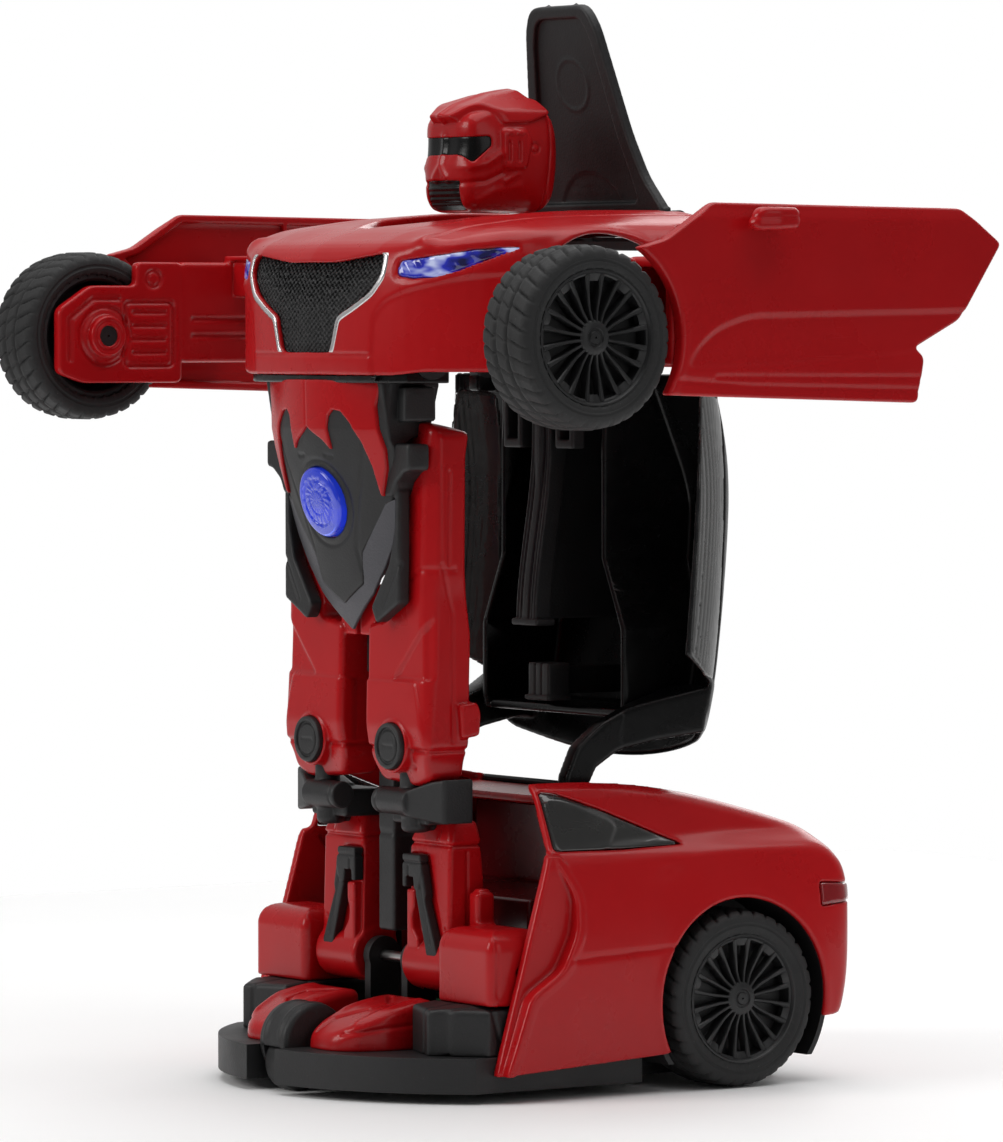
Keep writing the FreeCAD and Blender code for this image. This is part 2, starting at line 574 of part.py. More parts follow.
# ------------------------------------------------------------------------- arms
def swing_link():
    length = LINK_RADIUS
    bar = box((0, length), (-4, 4), LINK_Z)
    link = fuse(bar, rod("z", (0, 0), LINK_EYE_R, *LINK_Z), rod("z", (length, 0), LINK_EYE_R, *LINK_Z))
    slot = box((8, length - 8), (-5, 5), (LINK_Z[0] + 3.4, LINK_Z[1] - 3.4))
    link = cut(link, rod("z", (0, 0), LINK_PIN_R + RUN_FIT, 200, 260),
               rod("z", (length, 0), LINK_PIN_R + RUN_FIT, 200, 260), slot)
    link.rotate(V(0, 0, 0), AXES["z"], LINK_REST_DEG)
    link.translate(V(LINK_PIVOT[0], LINK_PIVOT[1], 0))
    return link


def wheel_bracket():
    """Upright that carries the front wheel, the block that the link turns in, and the door stay."""
    plate = prism("x", [(-9, 203), (-9, 222), (2, 229), (18, 229), (18, 236), (34, 236), (34, 200),
                        (0, 200)], 114.5, 118)
    boss = rod("x", FRONT_AXLE, 6, 112, 118)
    stay = box((114.5, 135), (34, 62), (206, 236))
    stay = cut(stay, box((118.5, 132), (30, 59), (209, 233)))
    block = box((107.5, 114.5), (52, 66), (225.8, 236.2))
    ears = fuse(box((98, 118), (51, 65), (236.6, 237.9)), box((114.5, 118), (51, 65), (230, 237.9)))
    pin = rod("z", LINK_END, LINK_PIN_R, 226, 237.9)
    bracket = fuse(plate, boss, stay, block, ears, pin)
    return cut(bracket, rod("x", FRONT_AXLE, AXLE_R + RUN_FIT, 100, 130),
               rod("z", LINK_END, LINK_EYE_R + 1, 225, 236.4).cut(pin))


def door():
    body = door_solid(0, *DOOR_X)
    groove = prism("x", [(58, 203), (112, 205), (112, 206), (58, 204)], DOOR_X[1] - 1, DOOR_X[1] + 1)
    return cut(body, groove)


def door_mirror():
    return fuse(box((139, 142), (60, 64), (243.5, 246.5)), box((141, 147.5), (54, 70), (243, 249.5)))


# ------------------------------------------------------------------------- build
os.makedirs("parts", exist_ok=True)

keep("chassis_base", chassis())
body_shell, side_window, rear_window, tail_lamp, rear_diffuser = rear_body_parts()
keep("rear_body_shell", body_shell)
keep("side_windows", pair(side_window))
keep("rear_window", rear_window)
keep("tail_lamps", pair(tail_lamp))
keep("rear_diffuser", rear_diffuser)
keep("inner_tub", inner_tub())
keep_sides("front_block", front_block())
keep("corner_covers", pair(corner_cover()))
keep_sides("foot", foot())
keep("roller_housing", roller_housing())
keep("front_roller", front_roller())
keep("battery_pack", battery_pack())
keep("battery_door", battery_door())
keep("circuit_board", circuit_board())
keep("drive_gearboxes", pair(drive_gearbox()))
keep("transform_gearbox", transform_gearbox())
keep("hinge_pins", hinge_pins())
keep("case_screws", case_screws())
keep("power_switch", power_switch())
keep_sides("rear_tyre", tyre(REAR_AXLE, REAR_WHEEL_R, REAR_WHEEL_X))
keep_sides("rear_rim", rim(REAR_AXLE, REAR_WHEEL_X, 20))
keep_sides("front_tyre", tyre(FRONT_AXLE, WHEEL_R, FRONT_WHEEL_X))
keep_sides("front_rim", rim(FRONT_AXLE, FRONT_WHEEL_X, 112.5))

keep("leg_frame", leg_frame())
keep_sides("thigh", thigh())
keep_sides("shin", shin())
keep("knee_joints", pair(knee_joint()))
keep("shin_struts", pair(shin_strut()))
keep("torso_core", torso_core())
keep("torso_cover", torso_cover())
keep("torso_side_panels", torso_side_panels())
keep("chest_lens", chest_lens())

front_shell, grille_plate, grille_trim, headlight, front_lip = chest_parts()
keep("front_body_shell", front_shell)
keep("front_grille", grille_plate)
keep("grille_trim", grille_trim)
keep("headlights", pair(headlight))
keep("front_lip", front_lip)
keep("chest_frame", chest_frame(front_shell, front_lip, pair(headlight)))
helmet, face_mask = head_parts()
keep("head_shell", helmet)
keep("face_mask", face_mask)
keep("bonnet_flap", bonnet_flap())
canopy, canopy_glass = canopy_parts()
keep("canopy_shell", canopy)
keep("canopy_glass", canopy_glass)

keep_sides("swing_link", swing_link())
keep_sides("wheel_bracket", wheel_bracket())
keep_sides("door", door())
keep_sides("door_mirror", door_mirror())
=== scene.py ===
import json
import math

import bpy
import numpy as np
from mathutils import Matrix, Vector


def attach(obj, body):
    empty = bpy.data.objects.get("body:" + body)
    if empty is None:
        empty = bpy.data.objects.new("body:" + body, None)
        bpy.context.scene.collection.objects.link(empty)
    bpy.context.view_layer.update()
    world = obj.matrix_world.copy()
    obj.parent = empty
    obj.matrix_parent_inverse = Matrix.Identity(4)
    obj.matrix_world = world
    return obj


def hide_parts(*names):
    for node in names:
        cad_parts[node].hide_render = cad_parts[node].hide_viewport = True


# Looks of the transforming robot car. Lengths are millimetres on the same axes as the CAD model, measured
# from the front roller's axle in Y, and become metres around the middle of the footprint when a mesh is made.
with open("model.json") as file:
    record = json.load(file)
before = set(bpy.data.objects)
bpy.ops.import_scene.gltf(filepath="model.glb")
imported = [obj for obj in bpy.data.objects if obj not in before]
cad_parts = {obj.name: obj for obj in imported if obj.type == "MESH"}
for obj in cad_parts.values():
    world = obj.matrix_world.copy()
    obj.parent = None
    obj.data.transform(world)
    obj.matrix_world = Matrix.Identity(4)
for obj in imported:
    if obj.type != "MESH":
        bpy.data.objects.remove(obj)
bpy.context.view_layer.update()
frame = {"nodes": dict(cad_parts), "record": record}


# ------------------------------------------------------------------------- dimensions shared with the CAD
ORIGIN_Y = 66.0
MM = 0.001
WALL = 2.4
ANKLE = (36.0, 36.0)
WAIST = (20.0, 208.0)
CANOPY_HINGE = (95.0, 64.0)
CANOPY_CLOSE = (79.0, 236.0)
FLAP_HINGE = (105.0, 247.0)
LINK_PIVOT = (40.0, 50.0)
LINK_RADIUS = 62.4
LINK_REST = math.radians(7.0)
ARM_BACK = 54.33                 # how far the arms travel backwards to close beside the chest
REAR_AXLE = (108.0, 25.5)
FRONT_AXLE = (7.0, 214.0)
REAR_WHEEL = dict(axle=REAR_AXLE, radius=25.5, face=69.0)
FRONT_WHEEL = dict(axle=FRONT_AXLE, radius=25.0, face=139.0)
WHEEL_WIDTH = 20.7
RIM_R = 18.4
ROLLER_R = 8.0
LENS = (0.0, 167.0)
FOLDED_HEIGHT = 230.0            # in the car form, a head height less this is a depth in the torso
FOLDED_DEPTH = 228.0             # in the car form, this less a head depth is a height in the torso
LEAN = ([120, 130.7, 138.4, 188, 202], [22.5, 19.2, 16.7, 4.6, 4.2])  # height and depth of the breastplate


# ------------------------------------------------------------------------- signed fields, negative inside
class Space:
    """Sample points of a box. With half=True only x >= 0 is sampled, and the surface is mirrored."""

    def __init__(self, x, y, z, step, half=False):
        self.step, self.half = step, half
        low = (-0.5 * step if half else x[0] - 1.5 * step, y[0] - 1.5 * step, z[0] - 1.5 * step)
        high = (x[1] + 2.5 * step, y[1] + 2.5 * step, z[1] + 2.5 * step)
        self.low = np.array(low)
        axes = [np.arange(a, b, step, dtype=np.float32) for a, b in zip(low, high)]
        self.shape = tuple(len(axis) for axis in axes)
        self.x = axes[0][:, None, None]
        self.y = axes[1][None, :, None]
        self.z = axes[2][None, None, :]
        self.ax = np.abs(self.x)


def rounded(points, reach, count=5):
    """The closed outline with each corner replaced by a curve that starts 'reach' before it."""
    points = np.array(points, float)
    before, after = np.roll(points, 1, 0), np.roll(points, -1, 0)
    result = []
    for p, a, b in zip(points, before, after):
        la, lb = np.linalg.norm(a - p), np.linalg.norm(b - p)
        t = min(reach, 0.46 * la, 0.46 * lb)
        start, end = p + (a - p) / la * t, p + (b - p) / lb * t
        for w in np.linspace(0, 1, count):
            result.append((1 - w) ** 2 * start + 2 * w * (1 - w) * p + w * w * end)
    return result


def both_sides(points):
    """An outline across the toy from its left half, mirrored about the middle."""
    return [(-x, v) for x, v in points] + points[::-1]


def to_segments(u, v, points, closed):
    best = None
    ends = list(zip(points, np.roll(points, -1, 0)))
    for (ax, ay), (bx, by) in ends if closed else ends[:-1]:
        ex, ey = bx - ax, by - ay
        t = np.clip(((u - ax) * ex + (v - ay) * ey) / (ex * ex + ey * ey + 1e-12), 0, 1)
        gap = (u - ax - t * ex) ** 2 + (v - ay - t * ey) ** 2
        best = gap if best is None else np.minimum(best, gap)
    return np.sqrt(best)


def outline(u, v, points, reach=0.0):
    """Signed distance to a closed outline in two of the coordinates."""
    points = np.array(rounded(points, reach) if reach else points, float)
    inside = np.zeros(np.broadcast(u, v).shape, bool)
    for (ax, ay), (bx, by) in zip(points, np.roll(points, -1, 0)):
        if ay != by:
            inside ^= ((ay > v) != (by > v)) & (u < (bx - ax) * (v - ay) / (by - ay) + ax)
    distance = to_segments(u, v, points, True)
    return np.where(inside, -distance, distance).astype(np.float32)


def line(u, v, points):
    """Distance to an open line of points."""
    return to_segments(u, v, np.array(points, float), False).astype(np.float32)


def slab(u, low, high):
    return np.maximum(low - u, u - high)


def disc(u, v, centre, radius):
    return np.sqrt((u - centre[0]) ** 2 + (v - centre[1]) ** 2) - radius


def meet(a, b, r=0.0):
    """Where both are, with the edge between them rounded by r."""
    if not r:
        return np.maximum(a, b)
    return np.minimum(np.maximum(a, b), -r) + np.hypot(np.maximum(a + r, 0), np.maximum(b + r, 0))


def join(a, b, r=0.0):
    """Where either is, with a fillet of r between them."""
    if not r:
        return np.minimum(a, b)
    return np.maximum(np.minimum(a, b), r) - np.hypot(np.maximum(r - a, 0), np.maximum(r - b, 0))


def less(a, b, r=0.0):
    """The first without the second."""
    return meet(a, -b, r)


def block(s, x, y, z, r=0.0):
    return meet(meet(slab(s.x, *x), slab(s.y, *y), r), slab(s.z, *z), r)


def twin_block(s, x, y, z, r=0.0):
    return meet(meet(slab(s.ax, *x), slab(s.y, *y), r), slab(s.z, *z), r)


def dent(distance, width, depth):
    """Added to a field, it sinks a soft groove; taken away, it raises a bead."""
    return depth * np.exp(-((distance / width) ** 2))


def smooth(low, high, u):
    t = np.clip((u - low) / (high - low), 0, 1)
    return t * t * (3 - 2 * t)


def eased(u, places, values, reach):
    """Values between the given places, with each bend spread over the reach on both sides."""
    return sum(np.interp(u + reach * shift, places, values) for shift in np.linspace(-1, 1, 9)) / 9


def breast_depth(height, across):
    """Depth of the breastplate: it leans back towards the hips and curves away at the sides."""
    return np.interp(height, *LEAN) + 7.2 * (across / 30) ** 2


# ------------------------------------------------------------------------- surfaces of fields
CORNERS = np.array([(i, j, k) for i in (0, 1) for j in (0, 1) for k in (0, 1)])
EDGES = [(a, b) for a in range(8) for b in range(a + 1, 8) if abs(CORNERS[a] - CORNERS[b]).sum() == 1]


def sample(values, q):
    """Trilinear values at grid coordinates q."""
    top = np.array(values.shape) - 2
    cell = np.clip(np.floor(q).astype(int), 0, top)
    w = np.clip(q - cell, 0, 1)
    total = 0
    for corner in CORNERS:
        weight = np.prod(np.where(corner, w, 1 - w), axis=1)
        total = total + weight * values[tuple((cell + corner).T)]
    return total


def slope(values, q, reach=0.8):
    result = []
    for axis in np.eye(3) * reach:
        result.append((sample(values, q + axis) - sample(values, q - axis)) / (2 * reach))
    return np.stack(result, 1)


def crossings(values, inside):
    """One point in each grid cell that the surface passes through, and the cell's number."""
    n = [size - 1 for size in values.shape]
    count = np.zeros(n, np.int8)
    for i, j, k in CORNERS:
        count += inside[i:i + n[0], j:j + n[1], k:k + n[2]]
    cells = np.argwhere((count > 0) & (count < 8))
    number = np.full(n, -1, np.int32)
    number[tuple(cells.T)] = np.arange(len(cells))
    at = [values[tuple((cells + corner).T)] for corner in CORNERS]
    total, hits = np.zeros((len(cells), 3)), np.zeros(len(cells))
    for a, b in EDGES:
        cross = (at[a] < 0) != (at[b] < 0)
        t = np.where(cross, at[a] / np.where(cross, at[a] - at[b], 1), 0)[:, None]
        total += np.where(cross[:, None], CORNERS[a] + t * (CORNERS[b] - CORNERS[a]), 0)
        hits += cross
    return cells + total / hits[:, None], cells, number


def skin(space, field):
    """Points (in grid coordinates) and quads of the surface where the field is zero."""
    values = np.ascontiguousarray(np.broadcast_to(field, space.shape), np.float32)
    inside = values < 0
    points, cells, number = crossings(values, inside)
    quads = []
    for a in range(3):
        b, c = (a + 1) % 3, (a + 2) % 3
        low, high = [slice(None)] * 3, [slice(None)] * 3
        low[a], high[a] = slice(0, -1), slice(1, None)
        edge = np.argwhere(inside[tuple(low)] != inside[tuple(high)])
        edge = edge[(edge[:, b] > 0) & (edge[:, c] > 0)]
        edge = edge[(edge[:, b] < values.shape[b] - 1) & (edge[:, c] < values.shape[c] - 1)]
        ring = []
        for db, dc in ((1, 1), (0, 1), (0, 0), (1, 0)):
            cell = edge.copy()
            cell[:, b] -= db
            cell[:, c] -= dc
            ring.append(number[tuple(cell.T)])
        ring = np.stack(ring, 1)
        back = ~inside[tuple(edge.T)]
        ring[back] = ring[back][:, ::-1]
        quads.append(ring)
    for _ in range(2):
        rise = slope(values, points)
        size = np.maximum((rise ** 2).sum(1), 1e-6)
        step = -(sample(values, points) / size)[:, None] * rise
        points = points + np.clip(step, -0.4, 0.4)
    seam = cells[:, 0] == 0 if space.half else np.zeros(len(cells), bool)
    points[seam, 0] = 0.5
    return values, points, np.concatenate(quads), seam


def as_mesh(name, points, faces):
    mesh = bpy.data.meshes.new(name)
    mesh.from_pydata(points, [], faces)
    mesh.validate()
    return mesh


def frame_points(points):
    return (np.asarray(points, float) - (0, ORIGIN_Y, 0)) * MM


def modified(mesh, *settings):
    """A copy of the mesh with modifiers applied, each given as (type, {setting: value})."""
    holder = bpy.data.objects.new("holder", mesh)
    bpy.context.scene.collection.objects.link(holder)
    for kind, values in settings:
        modifier = holder.modifiers.new(kind, kind)
        for key, value in values.items():
            setattr(modifier, key, value)
    seen = holder.evaluated_get(bpy.context.evaluated_depsgraph_get())
    result = bpy.data.meshes.new_from_object(seen)
    result.name = mesh.name
    bpy.data.objects.remove(holder)
    bpy.data.meshes.remove(mesh)
    return result


def solid(name, space, field, share=0.35):
    """Mesh of a field, thinned to a share of its faces, with normals and the curvature for edge wear and
    painted hollow shade read from the field.
    """
    values, points, quads, seam = skin(space, field)
    places = points * space.step + space.low
    if space.half:
        twin = np.arange(len(points))
        twin[~seam] = len(points) + np.arange((~seam).sum())
        places = np.concatenate([places, places[~seam] * (-1, 1, 1)])
        quads = np.concatenate([quads, twin[quads][:, ::-1]])
    mesh = as_mesh(name, frame_points(places).tolist(), quads.tolist())
    if share < 1:
        mesh = modified(mesh, ("DECIMATE", {"ratio": share, "use_symmetry": space.half,
                                          "use_collapse_triangulate": True}))
    co = np.empty(len(mesh.vertices) * 3)
    mesh.vertices.foreach_get("co", co)
    spot = co.reshape(-1, 3) / MM + (0, ORIGIN_Y, 0)
    spot = unfolded(mesh, spot, space, values)
    mesh.vertices.foreach_set("co", frame_points(spot).ravel())
    sign = np.ones((len(spot), 3))
    if space.half:
        sign[:, 0] = np.where(spot[:, 0] < 0, -1, 1)
        spot[:, 0] = np.abs(spot[:, 0])
    q = (spot - space.low) / space.step
    normal = slope(values, q) * sign
    normal /= np.maximum(np.linalg.norm(normal, axis=1), 1e-6)[:, None]
    reach = 2.0
    around = sum(sample(values, q + d) for d in np.concatenate([np.eye(3), -np.eye(3)]) * reach)
    bend = (around - 6 * sample(values, q)) / space.step
    finish_mesh(mesh, normal, bend)
    return mesh


def unfolded(mesh, spot, space, values):
    """Relaxes the few triangles that thinning turned against the surface."""
    if any(len(p.vertices) != 3 for p in mesh.polygons):
        return spot
    faces = np.empty(len(mesh.polygons) * 3, int)
    mesh.polygons.foreach_get("vertices", faces)
    faces = faces.reshape(-1, 3)
    edges = np.empty(len(mesh.edges) * 2, int)
    mesh.edges.foreach_get("vertices", edges)
    edges = edges.reshape(-1, 2)
    count = np.bincount(edges.ravel(), minlength=len(spot))[:, None]
    for _ in range(8):
        corner = spot[faces]
        facing = np.cross(corner[:, 1] - corner[:, 0], corner[:, 2] - corner[:, 0])
        centre = corner.mean(1)
        sign = np.ones((len(centre), 3))
        if space.half:
            sign[:, 0] = np.where(centre[:, 0] < 0, -1, 1)
        lean = slope(values, (centre * sign - space.low) / space.step) * sign
        wrong = (facing * lean).sum(1) < 0.15 * np.linalg.norm(facing, axis=1) * np.linalg.norm(lean, axis=1)
        if not wrong.any():
            break
        moving = np.unique(faces[wrong])
        total = np.zeros_like(spot)
        np.add.at(total, edges[:, 0], spot[edges[:, 1]])
        np.add.at(total, edges[:, 1], spot[edges[:, 0]])
        target = (total / np.maximum(count, 1))[moving]
        sign = np.ones((len(moving), 3))
        if space.half:
            sign[:, 0] = np.where(target[:, 0] < 0, -1, 1)
        for _ in range(2):
            q = (target * sign - space.low) / space.step
            steep = slope(values, q) / space.step
            size = np.maximum((steep ** 2).sum(1, keepdims=True), 0.05)
            away = sample(values, q)[:, None] * steep / size
            target = target - np.clip(away, -0.6, 0.6) * sign
        spot = spot.copy()
        spot[moving] = target
    return spot


def finish_mesh(mesh, normals, bend):
    """Shades the mesh by the field's own normals and stores where its edges and hollows are."""
    mesh.shade_smooth()
    # Curvature: the materials lighten convex edges as wear and darken hollows as painted shade.
    wear_and_hollow_shade = mesh.attributes.new("wear_and_hollow_shade", "FLOAT", "POINT")
    wear_and_hollow_shade.data.foreach_set("value", np.clip(bend / 3, -1, 1).astype(np.float32))
    mesh.normals_split_custom_set_from_vertices(normals.tolist())


def flipped(mesh, name):
    """The mesh mirrored to the other side."""
    twin = mesh.copy()
    twin.name = name
    normals = [Vector(n.vector) for n in mesh.corner_normals]
    starts = [(p.loop_start, p.loop_total) for p in mesh.polygons]
    twin.transform(Matrix.Scale(-1, 4, (1, 0, 0)))
    twin.flip_normals()
    turned = [None] * len(normals)
    for start, total in starts:
        for i in range(total):
            n = normals[start + (-i) % total]
            turned[start + i] = (-n.x, n.y, n.z)
    twin.normals_split_custom_set(turned)
    return twin


# ------------------------------------------------------------------------- pieces
BODY_OF = {node: body for body, nodes in frame["record"]["behaviour"]["bodies"].items() for node in nodes}


def piece(name, mesh, slot, cad_node, replaces=True):
    """Adds a mesh: it rides on the CAD node's body, and stands for that node unless told not to."""
    made = bpy.data.objects.new(name, mesh)
    bpy.context.scene.collection.objects.link(made)
    mesh.materials.clear()
    mesh.materials.append(MATERIALS[slot])
    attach(made, BODY_OF[cad_node])
    if replaces:
        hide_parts(cad_node)
    return made


# ------------------------------------------------------------------------- materials
def node(tree, kind, inputs=(), **settings):
    made = tree.nodes.new(kind)
    for key, value in settings.items():
        setattr(made, key, value)
    for key, value in dict(inputs).items():
        if isinstance(value, bpy.types.NodeSocket):
            tree.links.new(value, made.inputs[key])
        else:
            made.inputs[key].default_value = value
    return made


def noise(tree, place, scale, detail=3.0, roughness=0.5):
    return node(tree, "ShaderNodeTexNoise", {"Vector": place, "Scale": scale, "Detail": detail,
                                             "Roughness": roughness}).outputs["Fac"]


def blend(tree, factor, a, b):
    mix = node(tree, "ShaderNodeMix", data_type="RGBA")
    for socket, value in ((mix.inputs[0], factor), (mix.inputs[6], a), (mix.inputs[7], b)):
        if isinstance(value, bpy.types.NodeSocket):
            tree.links.new(value, socket)
        else:
            socket.default_value = value
    return mix.outputs[2]


def spread(tree, value, low, high, to_low=0.0, to_high=1.0):
    return node(tree, "ShaderNodeMapRange", {"Value": value, "From Min": low, "From Max": high,
                                             "To Min": to_low, "To Max": to_high}).outputs[0]


def finish(name, colour, shade, rough, rough_more=0.08, grain=(900, 0.06), waves=(70, 0.03), coat=0.0,
           coat_rough=0.05, edge=0.25, dust=0.05, scuffs=0.03, lift=0.03, glow=None, **sockets):
    """Moulded plastic: drifting colour, worn edges, painted shade in the hollows, scattered dust motes,
    hairline scuffs and a moulded grain.
    """
    material = bpy.data.materials.new(name)
    material.use_nodes = True
    tree = material.node_tree
    tree.nodes.clear()
    place = node(tree, "ShaderNodeTexCoord").outputs["Object"]
    drift = spread(tree, noise(tree, place, 22, 4), 0.35, 0.65)
    tone = blend(tree, drift, (*colour, 1), (*shade, 1))
    wear_and_hollow_shade = node(tree, "ShaderNodeAttribute", attribute_name="wear_and_hollow_shade").outputs["Fac"]
    speck = noise(tree, place, 260, 5, 0.65)
    convex = spread(tree, wear_and_hollow_shade, 0.25, 1.0)
    patchy = node(tree, "ShaderNodeMath", {0: convex, 1: spread(tree, speck, 0.35, 0.7)},
                  operation="MULTIPLY").outputs[0]
    lighter = [min(1, c * 1.3 + lift) for c in colour]
    tone = blend(tree, spread(tree, patchy, 0, 1, 0, edge), tone, (*lighter, 1))
    # Painted shade: hollows are darkened towards 0.55 of the colour, as if shade fell in them.
    hollow = spread(tree, wear_and_hollow_shade, -0.2, -0.9)
    tone = blend(tree, spread(tree, hollow, 0, 1, 0, 0.35), tone, (*[c * 0.55 for c in colour], 1))
    motes = spread(tree, noise(tree, place, 1500, 2, 0.8), 0.70, 0.78, 0, dust)
    tone = blend(tree, motes, tone, (0.45, 0.43, 0.42, 1))
    stretched = node(tree, "ShaderNodeMapping", {"Vector": place, "Rotation": (0.5, 0.9, 0.3),
                                                 "Scale": (1.0, 0.04, 1.0)}).outputs[0]
    hair = spread(tree, noise(tree, stretched, 1300, 2, 0.6), 0.66, 0.72, 0, 1)
    rub = node(tree, "ShaderNodeMath", {0: hair, 1: spread(tree, noise(tree, place, 35, 3), 0.5, 0.7)},
               operation="MULTIPLY").outputs[0]
    cloud = spread(tree, noise(tree, place, 55, 5, 0.6), 0.3, 0.7, rough, rough + rough_more)
    roughness = node(tree, "ShaderNodeMath", {0: rub, 1: scuffs * 3, 2: cloud},
                     operation="MULTIPLY_ADD").outputs[0]
    fine = node(tree, "ShaderNodeBump", {"Height": noise(tree, place, grain[0], 2), "Strength": grain[1],
                                         "Distance": 0.0004})
    broad = node(tree, "ShaderNodeBump", {"Height": noise(tree, place, waves[0], 2), "Strength": waves[1],
                                          "Distance": 0.002, "Normal": fine.outputs[0]})
    if glow is not None:
        # Painted glow and painted reflections: the glass gives off dark blue light with pale cloudy patches,
        # though it is no lamp.
        cloudy = node(tree, "ShaderNodeMapping", {"Vector": place, "Scale": (1.0, 1.0, 2.2)}).outputs[0]
        lit = noise(tree, cloudy, 95, 2, 0.5)
        painted_glow_colour = blend(tree, spread(tree, lit, 0.36, 0.52), (0.002, 0.002, 0.02, 1), (*glow, 1))
        painted_glow_colour = blend(tree, spread(tree, lit, 0.50, 0.60), painted_glow_colour, (0.62, 0.68, 0.95, 1))
        sockets.update({"Emission Color": painted_glow_colour, "Emission Strength": 0.75})
    shader = node(tree, "ShaderNodeBsdfPrincipled", {"Base Color": tone, "Roughness": roughness,
                                                     "Normal": broad.outputs[0], "Coat Weight": coat,
                                                     "Coat Roughness": coat_rough, **sockets})
    out = node(tree, "ShaderNodeOutputMaterial")
    tree.links.new(shader.outputs[0], out.inputs[0])
    return material


MATERIALS = {
    "red_gloss": finish("red_gloss", (0.43, 0.0045, 0.0070), (0.39, 0.0035, 0.0058), 0.25, grain=(420, 0.03),
                        waves=(45, 0.04), coat=0.10, coat_rough=0.10, edge=0.2, dust=0.010, lift=0.006,
                        **{"Specular IOR Level": 0.26}),
    # The body's red plastic, painted darker as shade for the inner tub.
    "red_dark": finish("red_dark", (0.12, 0.003, 0.005), (0.09, 0.002, 0.004), 0.22, grain=(420, 0.03),
                       waves=(45, 0.04), coat=0.2, coat_rough=0.10, edge=0.15, dust=0.01, lift=0.004,
                       **{"Specular IOR Level": 0.35}),
    "black_satin": finish("black_satin", (0.0085, 0.0085, 0.0092), (0.006, 0.006, 0.0067), 0.46, 0.12,
                          grain=(1500, 0.22), waves=(60, 0.02), edge=0.5, dust=0.10, scuffs=0.05),
    "black_gloss": finish("black_gloss", (0.0026, 0.0026, 0.0028), (0.0018, 0.0018, 0.0020), 0.22, 0.10,
                          grain=(500, 0.03), waves=(40, 0.05), coat=0.0, edge=0.5, dust=0.06, scuffs=0.05,
                          lift=0.012, **{"Specular IOR Level": 0.28}),
    "charcoal_window": finish("charcoal_window", (0.021, 0.021, 0.020), (0.017, 0.017, 0.017), 0.24, 0.08,
                              grain=(700, 0.04), waves=(50, 0.04), coat=0.9, edge=0.3, dust=0.08),
    "grey_panel": finish("grey_panel", (0.085, 0.083, 0.092), (0.070, 0.069, 0.078), 0.42, 0.1,
                         grain=(1700, 0.30), edge=0.3, dust=0.10, **{"Metallic": 0.35}),
    # Painted glow: the chest lens gives off blue light of its own, though it is no lamp.
    "blue_lens": finish("blue_lens", (0.012, 0.035, 0.42), (0.008, 0.020, 0.30), 0.10, 0.06,
                        grain=(240, 0.25), coat=0.8, edge=0.1, dust=0.0,
                        **{"Transmission Weight": 0.35, "IOR": 1.49, "Emission Color": (0.02, 0.06, 0.9, 1),
                           "Emission Strength": 0.35}),
    # Headlight glass with a painted glow and painted reflections.
    "headlight_blue": finish("headlight_blue", (0.010, 0.010, 0.10), (0.004, 0.004, 0.03), 0.10, 0.05,
                             grain=(260, 0.3), coat=0.8, edge=0.0, dust=0.0, glow=(0.02, 0.03, 0.50)),
    "trim_silver": finish("trim_silver", (0.72, 0.70, 0.70), (0.62, 0.61, 0.62), 0.24, 0.08,
                          grain=(1200, 0.04), edge=0.2, **{"Metallic": 0.85}),
    "tail_red": finish("tail_red", (0.30, 0.004, 0.008), (0.20, 0.003, 0.006), 0.12, 0.05,
                       grain=(260, 0.15), coat=0.8, edge=0.1, **{"Transmission Weight": 0.25}),
    "tyre_rubber": finish("tyre_rubber", (0.0100, 0.0100, 0.0104), (0.0135, 0.0135, 0.0139), 0.62, 0.14,
                          grain=(1400, 0.25), waves=(120, 0.05), edge=0.5, dust=0.20, scuffs=0.02),
    "rim_black": finish("rim_black", (0.0085, 0.0085, 0.0092), (0.006, 0.006, 0.0065), 0.40, 0.12,
                        grain=(1500, 0.15), edge=0.6, dust=0.12),
    "steel": finish("steel", (0.52, 0.51, 0.50), (0.42, 0.42, 0.42), 0.26, 0.12, grain=(1800, 0.10),
                    edge=0.2, **{"Metallic": 1.0}),
    "battery_green": finish("battery_green", (0.03, 0.16, 0.07), (0.02, 0.12, 0.05), 0.35, coat=0.3),
    "board_green": finish("board_green", (0.01, 0.10, 0.04), (0.008, 0.07, 0.03), 0.4, grain=(700, 0.2)),
    "gear_white": finish("gear_white", (0.62, 0.60, 0.55), (0.55, 0.53, 0.48), 0.4, grain=(900, 0.08)),
}


# ------------------------------------------------------------------------- CAD pieces with moulded edges
def refined(cad_node, radius, slot):
    """The CAD node's own shape, with its sharp edges rounded as a mould would."""
    mesh = frame["nodes"][cad_node].data.copy()
    mesh.name = "fine_" + cad_node
    if mesh.has_custom_normals:
        mesh.attributes.remove(mesh.attributes["custom_normal"])
    for p in mesh.polygons:
        p.use_smooth = True
    mesh = modified(mesh, ("WELD", {"merge_threshold": 0.00001}),
                    ("DECIMATE", {"decimate_type": "DISSOLVE", "angle_limit": math.radians(0.8)}),
                    ("BEVEL", {"width": radius * MM, "segments": 2, "limit_method": "ANGLE",
                               "angle_limit": math.radians(32), "use_clamp_overlap": True,
                               "harden_normals": True}),
                    ("WEIGHTED_NORMAL", {"keep_sharp": True, "weight": 80}))
    return piece("fine_" + cad_node, mesh, slot, cad_node)


def refined_pair(cad_node, radius, slot):
    for side in ("_left", "_right"):
        refined(cad_node + side, radius, slot)


def twins(name, mesh, slot, cad_node):
    """The left piece and its mirror image."""
    piece(name + "_left", mesh, slot, cad_node + "_left")
    piece(name + "_right", flipped(mesh, name + "_right"), slot, cad_node + "_right")


